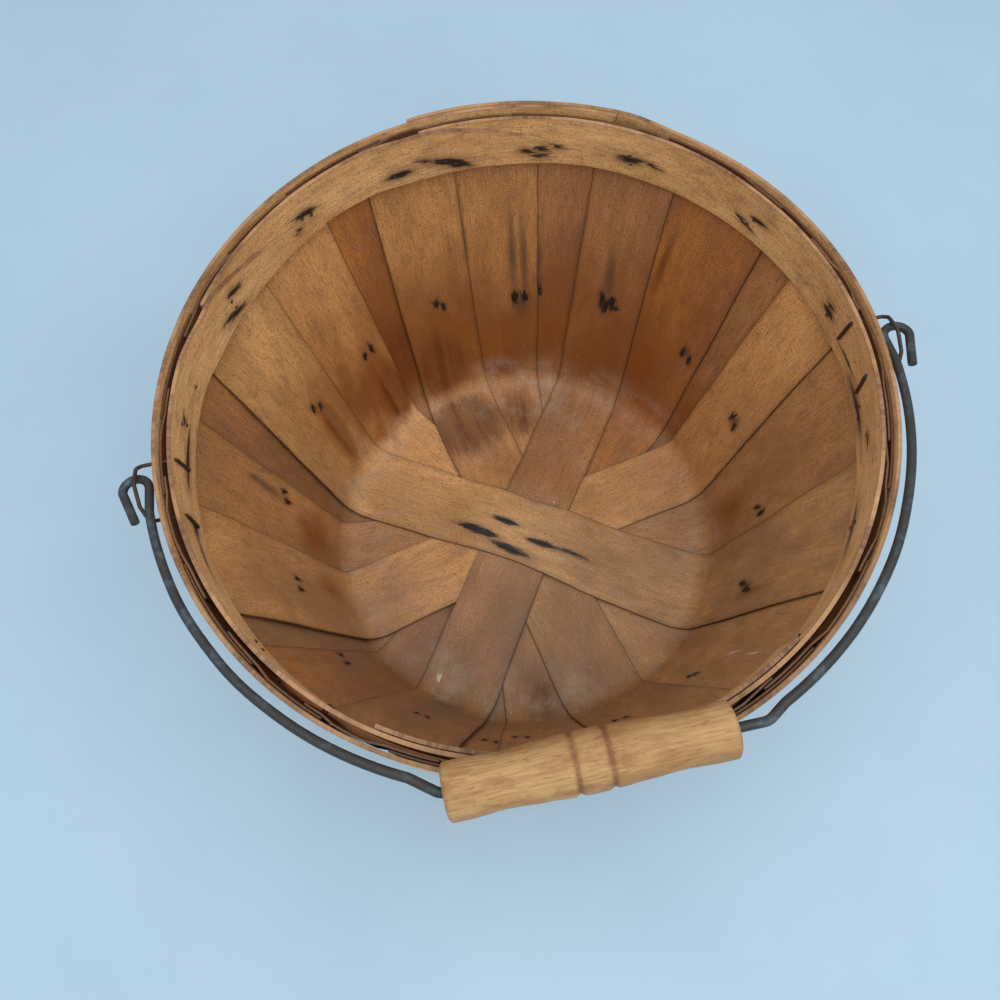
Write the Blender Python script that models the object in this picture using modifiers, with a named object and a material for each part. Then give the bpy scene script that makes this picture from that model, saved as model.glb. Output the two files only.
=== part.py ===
"""Small round basket of thin wooden staves.

Twelve long staves cross at the middle of the floor, bend up as the wall and are held between
flat wooden hoops at the rim and one more hoop round the middle. Two bent wire ears go through
the rim, and a wire bail with a turned wooden grip hooks into them.

Frame: metres, +Z up, origin on the underside at the middle of the floor, front of the basket -Y.
"""
import math

import bmesh
import bpy
from mathutils import Vector

MM = 0.001
GAP = 0.3 * MM                     # clearance left between pieces that touch

# Overall shape, taken on the outer face of the lowest layer of staves
HEIGHT = 173.0 * MM                # floor to the top edge of the rim hoops
RIM_RADIUS = 140.0 * MM            # outer face of the outer hoop at its top edge
TAPER = 38.0 * MM                  # how much less the radius is where the wall meets the ground
CORNER_RADIUS = 12.0 * MM          # bend between floor and wall
RIM_SLOPE = 0.025                  # lean of the nearly upright rim, radius per height
RIM_BEND_RADIUS = 25.0 * MM        # soft bend between wall and rim
RIM_BEND_BELOW = 0.9 * MM          # the wall would meet the rim this far below the rim hoops

# Flat hoops
HOOP_THICK = 1.6 * MM
HOOP_HEIGHT = 27.0 * MM
MID_HOOP_HEIGHT = 20.0 * MM
MID_HOOP_Z = 67.0 * MM             # height of the middle of the middle hoop
HOOP_STEP = HOOP_THICK + GAP       # how far a lapped layer of hoop stands off
INNER_TOP_DROP = 0.8 * MM          # the inner hoop's top edge below the outer hoop's
INNER_LOW_RISE = 0.3 * MM          # and its lower edge above the outer hoop's
LONG_POINT = 9.0 * MM              # height left at the pointed end of the inner hoop
SHORT_POINT = 11.0 * MM            # and at that of the short strip that closes it

# Where the hoops start and end, in degrees from +X. The ends of the outer and middle hoops lap.
# The inner hoop is too short to meet, and a short strip on the left closes it.
OUTER_LAP = (60.6, 98.2)
MID_LAP = (272.0, 296.0)
INNER_ANGLES = (119.0, 97.0)
LEFT_ANGLES = (66.0, 150.0)
FRONT_ANGLES = (236.0, 303.0)
LAP_RUN = 10.0                     # degrees in which a strip climbs over the one beneath
POINT_RUN = 29.0                   # degrees along which a pointed end is cut slanting

# Staves
STAVE_THICK = 0.85 * MM
STAVE_PITCH = 1.2 * MM             # thickness of a stave and the gap to the next
STAVE_WIDTH = 36.0 * MM            # width at the middle of the floor
STAVE_DROP = 2.2 * MM              # how far the stave ends stay below the top of the rim
STACK_ALL = 27.0 * MM              # inside this radius all twelve lie one on another
STACK_SIX = 50.0 * MM              # from here they lie in six layers
STACK_SIX_END = 58.0 * MM          # here the six begin to draw together
STACK_EDGE = 4.6 * MM              # this far before the bend of the corner they lie in three

# Angles at the rim, in degrees from +X, of the two ends of each stave, in the order
# in which they are laid, from the underside up
STAVE_ENDS = [
    ("stave_01", (104.0, 123.5), (284.0, 303.5)),
    ("stave_02", (13.5, 33.0), (196.5, 215.5)),
    ("stave_03", (-28.5, -9.5), (151.5, 171.0)),
    ("stave_04", (58.5, 79.5), (239.0, 259.0)),
    ("stave_05", (26.1, 50.5), (209.2, 228.5)),
    ("stave_06", (118.2, 138.5), (294.0, 319.5)),
    ("stave_07", (-20.5, 5.2), (165.7, 184.5)),
    ("stave_08", (74.3, 95.0), (252.7, 276.5)),
    ("stave_09", (90.8, 108.6), (273.5, 295.9)),
    ("stave_10", (3.2, 18.7), (181.3, 203.0)),
    ("stave_11", (47.2, 63.5), (225.1, 246.2)),
    ("stave_12", (-42.9, -18.2), (134.9, 156.0)),
]

# Wire bail
BAIL_WIRE = 3.4 * MM
BAIL_STAND = 3.7 * MM              # middle of the bail's bow outside the rim
BAIL_SHIFT = 0.4 * MM              # the bail has slid this far to the left in its ears
BOW_START = 8.9 * MM               # the bow starts this far in front of the bail axis
BOW_LEAN = 0.8 * MM                # its front stands this much further left
HOOK_RADIUS = 5.0 * MM
HOOK_BACK = 6.4 * MM               # how far the bend of a hook reaches behind the bail axis
HOOK_TIP = 12.0 * MM               # length of the free tip past the bail axis
HOOK_LEAN = 4.5 * MM               # the free tip leans in towards the rim this much
GRIP_SET = 10.7 * MM               # bail axis to grip axis is this much less than the rim radius
LEFT_ROOM = 1.2 * MM               # from the left end of the grip to the kink in the wire
RIGHT_ROOM = 11.5 * MM             # and from the right end, because the grip has slid left
KINK_RUN = 8.0 * MM                # from a kink to the start of the bow, along X

# Wire ears
EAR_WIRE = 1.5 * MM
EAR_DROP = 4.5 * MM                # bail axis below the top of the rim
EAR_FORWARD = 7.3 * MM             # bail axis in front of the middle of the basket
EAR_HALF = 11.0 * MM               # half the distance between the two legs of an ear
HOOK_INSET = 1.1 * MM              # the inner arm of a hook lies this much nearer the rim than the bow
EAR_STAND = BAIL_STAND + HOOK_RADIUS - HOOK_INSET
EAR_FRONT_LOW = 2.5 * MM           # the front leg goes through the rim this much lower
EAR_LEG_END = 18.0 * MM            # end of the clinched legs below the top of the rim
EAR_SPLAY = 1.2 * MM               # the clinched legs spread this much
EAR_DRAW = 1.4 * MM                # the hook draws the front of the crown in this much
EAR_ARCH = 0.5 * (BAIL_WIRE + EAR_WIRE) + 0.85 * MM   # rise of the crown over the hook's bend
EAR_HOLE = EAR_WIRE + 2.0 * GAP

# Turned grip
GRIP_LENGTH = 93.0 * MM
GRIP_SHIFT = -7.7 * MM             # the grip has slid towards the left on its wire
GRIP_RADIUS = 9.95 * MM
GRIP_PLAY = 0.8 * MM               # gap all round between the wire and the bore
GRIP_BORE = 0.5 * BAIL_WIRE + GRIP_PLAY

# Values that follow from those above
FOOT_RADIUS = RIM_RADIUS - TAPER
STAVE_RADIUS = RIM_RADIUS - HOOP_THICK - GAP
WALL_TOP = HEIGHT - HOOP_HEIGHT - RIM_BEND_BELOW
WALL_SLOPE = (STAVE_RADIUS - RIM_SLOPE * (HEIGHT - WALL_TOP) - FOOT_RADIUS) / WALL_TOP
WALL_ANGLE = math.atan2(1.0, WALL_SLOPE)
RIM_ANGLE = math.atan2(1.0, RIM_SLOPE)
INNER_FACE = STAVE_RADIUS - 3.0 * STAVE_PITCH + (STAVE_PITCH - STAVE_THICK)
INNER_HOOP_RADIUS = INNER_FACE - GAP
EAR_REACH = RIM_RADIUS + EAR_STAND
AXIS_Y = -EAR_FORWARD
AXIS_Z = HEIGHT - EAR_DROP
BAIL_RADIUS = RIM_RADIUS + BAIL_STAND
GRIP_OUT = RIM_RADIUS - GRIP_SET
BAIL_TILT = math.asin((EAR_DROP + GRIP_RADIUS + GAP) / GRIP_OUT)


def corner_points():
    """Ends of the straight runs of the stave profile, as distances along it."""
    floor_end = FOOT_RADIUS - CORNER_RADIUS * math.tan(0.5 * WALL_ANGLE)
    bend_end = floor_end + CORNER_RADIUS * WALL_ANGLE
    turn = RIM_ANGLE - WALL_ANGLE
    cut = RIM_BEND_RADIUS * math.tan(0.5 * turn)
    wall_full = WALL_TOP / math.sin(WALL_ANGLE)
    wall_run = wall_full - CORNER_RADIUS * math.tan(0.5 * WALL_ANGLE) - cut
    wall_end = bend_end + wall_run
    return floor_end, bend_end, wall_end, wall_end + RIM_BEND_RADIUS * turn


FLOOR_END, BEND_END, WALL_END, RIM_START = corner_points()
STACK_THREE = FLOOR_END - STACK_EDGE


def profile(dist):
    """Radius, height and inward normal of the outer face of the lowest layer."""
    if dist <= FLOOR_END:
        return dist, 0.0, 0.0, 1.0
    turn = min((dist - FLOOR_END) / CORNER_RADIUS, WALL_ANGLE)
    r = FLOOR_END + CORNER_RADIUS * math.sin(turn)
    z = CORNER_RADIUS * (1.0 - math.cos(turn))
    if dist <= BEND_END:
        return r, z, -math.sin(turn), math.cos(turn)
    run = min(dist, WALL_END) - BEND_END
    r += run * math.cos(WALL_ANGLE)
    z += run * math.sin(WALL_ANGLE)
    if dist <= WALL_END:
        return r, z, -math.sin(WALL_ANGLE), math.cos(WALL_ANGLE)
    angle = WALL_ANGLE + (min(dist, RIM_START) - WALL_END) / RIM_BEND_RADIUS
    r += RIM_BEND_RADIUS * (math.sin(angle) - math.sin(WALL_ANGLE))
    z += RIM_BEND_RADIUS * (math.cos(WALL_ANGLE) - math.cos(angle))
    if dist > RIM_START:
        r += (dist - RIM_START) * math.cos(RIM_ANGLE)
        z += (dist - RIM_START) * math.sin(RIM_ANGLE)
    return r, z, -math.sin(angle), math.cos(angle)


def distance_at_height(z):
    """Distance along the profile at a height in the rim."""
    return RIM_START + (z - profile(RIM_START)[1]) / math.sin(RIM_ANGLE)


def ramp(value, low, high):
    """0 below low, 1 above high and a straight line between them."""
    return min(max((value - low) / (high - low), 0.0), 1.0)


def layer(order, r):
    """Layer of a stave at a radius: twelve at the middle, then six, then three."""
    to_six = ramp(r, STACK_ALL, STACK_SIX)
    to_three = ramp(r, STACK_SIX_END, STACK_THREE)
    inner = order + (order // 2 - order) * to_six
    return inner + (order // 4 - inner) * to_three


def polar(r, z, degrees):
    """Point at a radius, a height and an angle round the basket."""
    angle = math.radians(degrees)
    return Vector((r * math.cos(angle), r * math.sin(angle), z))


def material(name, color, roughness, metallic=0.0):
    """Principled material with a plain colour."""
    mat = bpy.data.materials.new(name)
    mat.use_nodes = True
    shader = mat.node_tree.nodes["Principled BSDF"]
    shader.inputs["Base Color"].default_value = (*color, 1.0)
    shader.inputs["Roughness"].default_value = roughness
    shader.inputs["Metallic"].default_value = metallic
    mat.diffuse_color = (*color, 1.0)
    return mat


def collection(name):
    """New collection in the scene."""
    coll = bpy.data.collections.new(name)
    bpy.context.scene.collection.children.link(coll)
    return coll


def mesh_object(name, bm, coll, mat=None):
    """Object made from a bmesh, shaded smooth with its sharp edges kept."""
    mesh = bpy.data.meshes.new(name)
    bmesh.ops.recalc_face_normals(bm, faces=bm.faces)
    bm.to_mesh(mesh)
    bm.free()
    obj = bpy.data.objects.new(name, mesh)
    coll.objects.link(obj)
    if mat is not None:
        mesh.materials.append(mat)
    mesh.shade_smooth()
    mesh.set_sharp_from_angle(angle=math.radians(35.0))
    return obj


def thicken(obj, thickness):
    """Give an open sheet its thickness, half to each side."""
    mod = obj.modifiers.new("Thickness", "SOLIDIFY")
    mod.thickness = thickness
    mod.offset = 0.0
    mod.use_even_offset = True


def cut(obj, cutter):
    """Take a cutter out of a piece."""
    mod = obj.modifiers.new("Cut " + cutter.name, "BOOLEAN")
    mod.operation = "DIFFERENCE"
    mod.solver = "EXACT"
    mod.object = cutter


def sheet(columns, rows, place):
    """Grid whose points go where place(column, row) puts them, both counted from 0."""
    bm = bmesh.new()
    bmesh.ops.create_grid(bm, x_segments=columns, y_segments=rows, size=0.5)
    for vert in bm.verts:
        column = round((vert.co.x + 0.5) * columns)
        row = round((vert.co.y + 0.5) * rows)
        vert.co = place(column, row)
    return bm


def stave_stations(end):
    """Distances from the middle of the floor at which a stave arm has a row of points."""
    marks = [STACK_ALL, 0.5 * (STACK_ALL + STACK_SIX), STACK_SIX, STACK_SIX_END]
    marks += [0.5 * (STACK_SIX_END + STACK_THREE), STACK_THREE, FLOOR_END]
    marks += [FLOOR_END + (BEND_END - FLOOR_END) * i / 5.0 for i in range(1, 6)]
    marks += [0.5 * (BEND_END + WALL_END), WALL_END]
    marks += [0.5 * (WALL_END + RIM_START), RIM_START, end]
    return marks


def make_stave(name, order, first, second, coll, mat):
    """One long stave: an arm up the wall, across the floor and up the wall again."""
    across = 4
    drop = STAVE_DROP + 0.35 * MM * (order * 5 % 4)
    end = distance_at_height(HEIGHT - drop)
    marks = stave_stations(end)
    stations = [-m for m in reversed(marks)] + [0.0] + marks
    top_r = profile(end)[0]
    mid_first = 0.5 * (first[0] + first[1])
    mid_second = 0.5 * (second[0] + second[1])
    straight = 0.5 * (mid_first + mid_second - 180.0)
    half_first = top_r * math.sin(math.radians(0.5 * (first[1] - first[0])))
    half_second = top_r * math.sin(math.radians(0.5 * (second[1] - second[0])))

    def place(column, row):
        along = stations[column]
        side = 2.0 * row / across - 1.0
        dist = abs(along)
        if along >= 0.0:
            middle, half_top, base = mid_first, half_first, straight
        else:
            middle, half_top, base = mid_second, half_second, straight + 180.0
            side = -side
        half = 0.5 * STAVE_WIDTH + (half_top - 0.5 * STAVE_WIDTH) * dist / end
        lateral = side * half
        if dist == 0.0:
            lift = layer(order, 0.0) * STAVE_PITCH + 0.5 * STAVE_THICK
            return polar(abs(lateral), lift, base + math.copysign(90.0, lateral))
        r, z, nr, nz = profile(dist)
        centre = base + (middle - base) * ramp(dist, STACK_ALL, end)
        angle = centre + math.degrees(math.asin(lateral / r))
        lift = layer(order, dist) * STAVE_PITCH + 0.5 * STAVE_THICK
        return polar(r + nr * lift, z + nz * lift, angle)

    bm = sheet(len(stations) - 1, across, place)
    obj = mesh_object(name, bm, coll, mat)
    thicken(obj, STAVE_THICK)
    return obj


def make_hoop(name, angles, steps, radius_at, low_at, high_at, coll, mat, slope=RIM_SLOPE):
    """Flat strip bent round the basket; radius_at gives its middle face at the rim height."""

    def place(column, row):
        degrees = angles[0] + (angles[1] - angles[0]) * column / steps
        z = low_at(degrees) + (high_at(degrees) - low_at(degrees)) * row
        return polar(radius_at(degrees) - slope * (HEIGHT - z), z, degrees)

    obj = mesh_object(name, sheet(steps, 1, place), coll, mat)
    thicken(obj, HOOP_THICK)
    return obj


def make_rim_hoops(coll, mats):
    """The outer hoop, the inner hoop, the strip that closes it and the strip inside its front."""
    low = HEIGHT - HOOP_HEIGHT
    outer = RIM_RADIUS - 0.5 * HOOP_THICK
    inner = INNER_HOOP_RADIUS - 0.5 * HOOP_THICK
    inner_low = low + INNER_LOW_RISE

    def outer_radius(degrees):
        start = 360.0 + OUTER_LAP[0] - 1.5
        return outer + HOOP_STEP * ramp(degrees, start - LAP_RUN, start)

    def slanting_top(degrees, start, top, point):
        cut_part = 1.0 - ramp(degrees, start, start + POINT_RUN)
        return top - (HOOP_HEIGHT - point) * cut_part

    def inner_radius(degrees):
        start = LEFT_ANGLES[1] + 1.5
        return inner - HOOP_STEP * (1.0 - ramp(degrees, start, start + LAP_RUN))

    def inner_top(degrees):
        return slanting_top(degrees, INNER_ANGLES[0], HEIGHT - INNER_TOP_DROP, LONG_POINT)

    def left_radius(degrees):
        start = INNER_ANGLES[1] + 1.5
        return inner - HOOP_STEP * (1.0 - ramp(degrees, start, start + LAP_RUN))

    def left_top(degrees):
        return slanting_top(degrees, LEFT_ANGLES[0], HEIGHT - 0.5 * INNER_TOP_DROP, SHORT_POINT)

    outer_turn = (OUTER_LAP[0], OUTER_LAP[1] + 360.0)
    inner_turn = (INNER_ANGLES[0], INNER_ANGLES[1] + 360.0)
    return [
        make_hoop("outer_hoop", outer_turn, 104, outer_radius,
                  lambda a: low, lambda a: HEIGHT, coll, mats["outer_hoop"]),
        make_hoop("inner_hoop", inner_turn, 98, inner_radius,
                  lambda a: inner_low, inner_top, coll, mats["inner_hoop"]),
        make_hoop("inner_hoop_left_strip", LEFT_ANGLES, 26, left_radius,
                  lambda a: inner_low + 0.6 * MM, left_top, coll, mats["inner_hoop_left_strip"]),
        make_hoop("inner_hoop_front_strip", FRONT_ANGLES, 20, lambda a: inner - HOOP_STEP,
                  lambda a: inner_low + 0.3 * MM, lambda a: HEIGHT - 1.5 * INNER_TOP_DROP,
                  coll, mats["inner_hoop_front_strip"]),
    ]


def make_mid_hoop(coll, mat):
    """The hoop round the outside of the wall, its ends lapped and stapled."""
    face = FOOT_RADIUS + WALL_SLOPE * HEIGHT
    stand = (GAP + 0.5 * HOOP_THICK) / math.sin(WALL_ANGLE)

    def radius_at(degrees):
        start = 360.0 + MID_LAP[0] - 1.5
        lift = HOOP_STEP * ramp(degrees, start - LAP_RUN, start)
        return face + stand + lift / math.sin(WALL_ANGLE)

    low = MID_HOOP_Z - 0.5 * MID_HOOP_HEIGHT
    high = MID_HOOP_Z + 0.5 * MID_HOOP_HEIGHT
    return make_hoop("mid_hoop", (MID_LAP[0], MID_LAP[1] + 360.0), 100, radius_at,
                     lambda a: low, lambda a: high, coll, mat, WALL_SLOPE)


def rounded_path(corners, radii, steps=4):
    """Points along a run of straight lines whose inner corners are rounded."""
    points = [corners[0]]
    for before, corner, after, radius in zip(corners, corners[1:], corners[2:], radii):
        back = (before - corner).normalized()
        ahead = (after - corner).normalized()
        half = 0.5 * back.angle(ahead)
        if radius <= 0.0 or half > math.radians(89.0):
            points.append(corner)
            continue
        reach = radius / math.tan(half)
        centre = corner + (back + ahead).normalized() * (radius / math.sin(half))
        start = corner + back * reach - centre
        stop = corner + ahead * reach - centre
        for i in range(steps + 1):
            part = i / steps
            arm = start.normalized().slerp(stop.normalized(), part)
            points.append(centre + arm * start.length)
    points.append(corners[-1])
    return points


def make_wire(name, points, diameter, coll, mat):
    """Round wire along a path, with closed ends."""
    curve = bpy.data.curves.new(name, "CURVE")
    curve.dimensions = "3D"
    curve.bevel_depth = 0.5 * diameter
    curve.bevel_resolution = 2
    curve.use_fill_caps = True
    spline = curve.splines.new("POLY")
    spline.points.add(len(points) - 1)
    for target, point in zip(spline.points, points):
        target.co = (*point, 1.0)
    curve.materials.append(mat)
    obj = bpy.data.objects.new(name, curve)
    coll.objects.link(obj)
    return obj


def make_ear(name, side, leg_radius, coll, mat):
    """Ear: two legs through the rim, clinched down inside, and an arched crown outside."""

    def at(x, forward, up):
        return Vector((side * x, AXIS_Y - forward, AXIS_Z + up))

    def leg_x(forward, z):
        y = AXIS_Y - forward
        r = leg_radius - RIM_SLOPE * (HEIGHT - z)
        return math.sqrt(r * r - y * y)

    end = HEIGHT - EAR_LEG_END
    corners = []
    front = EAR_HALF + EAR_SPLAY
    reach = EAR_REACH - side * BAIL_SHIFT
    corners.append(at(leg_x(front, end), front, end - AXIS_Z))
    corners.append(at(leg_x(EAR_HALF, AXIS_Z), EAR_HALF, -EAR_FRONT_LOW))
    corners.append(at(reach - 2.6 * EAR_DRAW, EAR_HALF, -EAR_FRONT_LOW))
    corners.append(at(reach - EAR_DRAW, 0.53 * EAR_HALF, 0.3 * EAR_ARCH))
    corners.append(at(reach - 0.4 * EAR_DRAW, -0.26 * EAR_HALF, EAR_ARCH))
    corners.append(at(reach - 0.7 * EAR_DRAW, -0.87 * EAR_HALF, 0.42 * EAR_ARCH))
    corners.append(at(reach - 1.9 * EAR_DRAW, -EAR_HALF, 0.0))
    corners.append(at(leg_x(-EAR_HALF, AXIS_Z), -EAR_HALF, 0.0))
    corners.append(at(leg_x(-front, end), -front, end - AXIS_Z))
    bends = (1.1, 1.3, 2.0, 4.0, 1.3, 0.8, 1.1)
    path = rounded_path(corners, [bend * EAR_WIRE for bend in bends], 3)
    return make_wire(name, path, EAR_WIRE, coll, mat)


def make_ear_holes(side, coll):
    """Cutter for the two holes that an ear's legs go through."""
    bm = bmesh.new()
    for forward, up in ((EAR_HALF, -EAR_FRONT_LOW), (-EAR_HALF, 0.0)):
        made = bmesh.ops.create_cone(bm, cap_ends=True, segments=12, radius1=0.5 * EAR_HOLE,
                                     radius2=0.5 * EAR_HOLE, depth=16.0 * MM)
        middle = Vector((side * (RIM_RADIUS - 4.0 * MM), AXIS_Y - forward, AXIS_Z + up))
        for vert in made["verts"]:
            vert.co = Vector((vert.co.z, vert.co.y, -vert.co.x)) + middle
    obj = mesh_object("ear_holes_right" if side > 0 else "ear_holes_left", bm, coll)
    obj.hide_render = True
    obj.display_type = "WIRE"
    return obj


def bail_half(side):
    """Bail path from the tip of one hook to the start of the grip run, in the bail's plane."""
    hook_x = side * EAR_REACH - BAIL_SHIFT
    turn = HOOK_RADIUS - HOOK_BACK
    points = [(hook_x + side * (HOOK_RADIUS - HOOK_LEAN), HOOK_TIP)]
    for i in range(9):
        angle = math.radians(180.0 * i / 8.0)
        x = hook_x + side * HOOK_RADIUS * math.cos(angle)
        points.append((x, turn - HOOK_RADIUS * math.sin(angle)))
    steps = 15
    room = RIGHT_ROOM if side > 0 else LEFT_ROOM
    kink_x = GRIP_SHIFT + side * (0.5 * GRIP_LENGTH + room)
    first = math.asin((EAR_FORWARD + BOW_START) / BAIL_RADIUS)
    last = math.acos((abs(kink_x) + KINK_RUN) / BAIL_RADIUS)
    for i in range(steps + 1):
        angle = first + (last - first) * i / steps
        forward = (BAIL_RADIUS * math.sin(angle) - EAR_FORWARD) / math.cos(BAIL_TILT)
        lean = BAIL_SHIFT + BOW_LEAN * forward / GRIP_OUT
        points.append((side * BAIL_RADIUS * math.cos(angle) - lean, forward))
    kink = [Vector((*point, 0.0)) for point in points[-2:]]
    kink += [Vector((kink_x, GRIP_OUT, 0.0)), Vector((GRIP_SHIFT, GRIP_OUT, 0.0))]
    rounded = rounded_path(kink, [2.4 * BAIL_WIRE, 1.75 * BAIL_WIRE])
    points = points[:-1] + [(point.x, point.y) for point in rounded[1:-1]]
    return [Vector((x, -forward, 0.0)) for x, forward in points]


def make_bail(pivot, coll, mat):
    """Wire bail, hooked at both ends, on its pivot."""
    points = bail_half(1.0) + list(reversed(bail_half(-1.0)))
    obj = make_wire("bail_wire", points, BAIL_WIRE, coll, mat)
    obj.parent = pivot
    return obj


def grip_profile():
    """Outline of the turned grip: fractions of its length and of its largest radius."""
    outline = [(0.0, 0.854), (0.009, 0.94), (0.07, 0.935), (0.2, 0.874), (0.33, 0.935), (0.43, 0.99)]
    outline += [(0.444, 0.905), (0.458, 0.975), (0.503, 1.0), (0.549, 0.975), (0.563, 0.905)]
    outline += [(0.577, 0.99), (0.67, 0.935), (0.8, 0.879), (0.93, 0.925), (0.991, 0.925), (1.0, 0.844)]
    return outline


def make_grip(pivot, coll, mat):
    """Turned wooden grip with a straight bore, free to spin on the wire."""
    bm = bmesh.new()
    ring = []
    for part, radius in grip_profile():
        ring.append(bm.verts.new((radius * GRIP_RADIUS, 0.0, GRIP_LENGTH * (0.5 - part))))
    ring.append(bm.verts.new((GRIP_BORE, 0.0, -0.5 * GRIP_LENGTH)))
    ring.append(bm.verts.new((GRIP_BORE, 0.0, 0.5 * GRIP_LENGTH)))
    for one, two in zip(ring, ring[1:] + ring[:1]):
        bm.edges.new((one, two))
    mesh = bpy.data.meshes.new("grip")
    bm.to_mesh(mesh)
    bm.free()
    mesh.materials.append(mat)
    obj = bpy.data.objects.new("grip", mesh)
    coll.objects.link(obj)
    mod = obj.modifiers.new("Turn", "SCREW")
    mod.axis = "Z"
    mod.steps = 24
    mod.render_steps = 24
    mod.use_merge_vertices = True
    mod.merge_threshold = 0.00001
    mod.use_smooth_shade = True
    obj.parent = pivot
    obj.rotation_euler = (0.0, math.radians(-90.0), 0.0)
    return obj


def make_pivot(name, location, rotation, parent=None):
    """Empty on a joint's axis."""
    empty = bpy.data.objects.new(name, None)
    empty.location = location
    empty.rotation_euler = rotation
    empty.empty_display_size = 0.02
    empty.parent = parent
    bpy.context.scene.collection.objects.link(empty)
    return empty


def main():
    for obj in list(bpy.data.objects):
        bpy.data.objects.remove(obj)
    parts = collection("stave_basket")
    cutters = collection("cutters")

    tones = [(0.50, 0.29, 0.13), (0.55, 0.33, 0.15), (0.46, 0.26, 0.12), (0.58, 0.35, 0.17)]
    staves = {}
    for order, (name, first, second) in enumerate(STAVE_ENDS):
        mat = material(name + "_wood", tones[order % 4], 0.7)
        staves[name] = make_stave(name, order, first, second, parts, mat)

    hoop_names = ("outer_hoop", "inner_hoop", "inner_hoop_left_strip", "inner_hoop_front_strip")
    mats = {name: material(name + "_wood", (0.48, 0.34, 0.20), 0.75) for name in hoop_names}
    outer, inner = make_rim_hoops(parts, mats)[:2]
    make_mid_hoop(parts, material("mid_hoop_wood", (0.47, 0.31, 0.17), 0.75))

    right_holes = make_ear_holes(1.0, cutters)
    left_holes = make_ear_holes(-1.0, cutters)
    for hoop in (outer, inner, staves["stave_07"]):
        cut(hoop, right_holes)
        cut(hoop, left_holes)
    cut(staves["stave_10"], left_holes)

    ear_mat = material("ear_steel", (0.22, 0.21, 0.20), 0.5, 0.9)
    inner_face = INNER_HOOP_RADIUS - HOOP_THICK - 2.0 * GAP - 0.5 * EAR_WIRE
    make_ear("ear_right", 1.0, inner_face, parts, ear_mat)
    make_ear("ear_left", -1.0, inner_face, parts, ear_mat)

    bail_pivot = make_pivot("bail_pivot", (0.0, AXIS_Y, AXIS_Z), (-BAIL_TILT, 0.0, 0.0))
    make_bail(bail_pivot, parts, material("bail_steel", (0.25, 0.26, 0.28), 0.45, 0.9))
    grip_pivot = make_pivot("grip_pivot", (GRIP_SHIFT, -GRIP_OUT, 0.0), (0.0, 0.0, 0.0), bail_pivot)
    make_grip(grip_pivot, parts, material("grip_wood", (0.60, 0.47, 0.31), 0.8))


main()
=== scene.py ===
import math

import bmesh
import bpy
from mathutils import Matrix, Vector, noise


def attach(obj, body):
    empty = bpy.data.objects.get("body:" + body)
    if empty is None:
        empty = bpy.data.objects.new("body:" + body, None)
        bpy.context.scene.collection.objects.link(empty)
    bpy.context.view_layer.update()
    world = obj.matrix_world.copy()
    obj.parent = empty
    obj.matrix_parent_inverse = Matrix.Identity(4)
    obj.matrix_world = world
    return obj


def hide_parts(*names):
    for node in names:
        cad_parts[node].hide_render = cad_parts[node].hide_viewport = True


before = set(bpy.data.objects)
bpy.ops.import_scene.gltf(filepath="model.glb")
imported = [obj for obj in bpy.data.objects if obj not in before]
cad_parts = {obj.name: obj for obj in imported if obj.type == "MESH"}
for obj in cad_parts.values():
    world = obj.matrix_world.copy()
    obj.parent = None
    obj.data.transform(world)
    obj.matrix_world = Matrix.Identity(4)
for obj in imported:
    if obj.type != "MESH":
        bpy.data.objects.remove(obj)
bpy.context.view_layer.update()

MM = 0.001
TAU = 2.0 * math.pi

# The basket's sizes, the same as in the CAD, where each is explained
HEIGHT = 173.0 * MM
RIM_RADIUS = 140.0 * MM
FOOT_RADIUS = 102.0 * MM           # where the slope of the wall meets the ground
CORNER_RADIUS = 12.0 * MM
RIM_SLOPE = 0.025
RIM_BEND_RADIUS = 25.0 * MM
RIM_BEND_BELOW = 0.9 * MM          # the wall would meet the rim this far below the rim hoops
GAP = 0.3 * MM
HOOP_THICK = 1.6 * MM
HOOP_HEIGHT = 27.0 * MM
HOOP_STEP = HOOP_THICK + GAP       # how far a lapped layer of hoop stands off
MID_HOOP_HEIGHT = 20.0 * MM
MID_HOOP_Z = 67.0 * MM
STAVE_THICK = 0.85 * MM
STAVE_PITCH = 1.2 * MM             # thickness of a stave and the gap to the next
STAVE_WIDTH = 36.0 * MM
STAVE_DROP = 2.2 * MM              # from the top of the rim down to the stave ends
STACK_ALL = 27.0 * MM              # inside this radius a stave keeps its straight sides
SIX_FROM = 24.0 * MM               # between these radii twelve layers thin to six
SIX_TO = 53.0 * MM
THREE_FROM = 55.0 * MM             # from here six layers thin to three,
THREE_BEFORE = 1.5 * MM            # up to this far before the corner
STAVE_RADIUS = RIM_RADIUS - HOOP_THICK - GAP
WALL_TOP = HEIGHT - HOOP_HEIGHT - RIM_BEND_BELOW
WALL_SLOPE = (STAVE_RADIUS - RIM_SLOPE * (HEIGHT - WALL_TOP) - FOOT_RADIUS) / WALL_TOP
WALL_ANGLE = math.atan2(1.0, WALL_SLOPE)
RIM_ANGLE = math.atan2(1.0, RIM_SLOPE)
INNER_HOOP_RADIUS = STAVE_RADIUS - 3.0 * STAVE_PITCH + (STAVE_PITCH - STAVE_THICK) - GAP

# Where the hoops start and end, in degrees from +X
OUTER_LAP = (60.6, 98.2)
MID_LAP = (272.0, 296.0)
INNER_ANGLES = (119.0, 97.0)
LEFT_ANGLES = (66.0, 150.0)
FRONT_ANGLES = (236.0, 303.0)
POINT_RUN = 29.0                   # degrees along which a pointed end is cut slanting
LAP_RUN = 10.0                     # degrees in which a strip climbs over another
LAP_CLEAR = 1.5                    # and how far from the other one's end it does so

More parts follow.
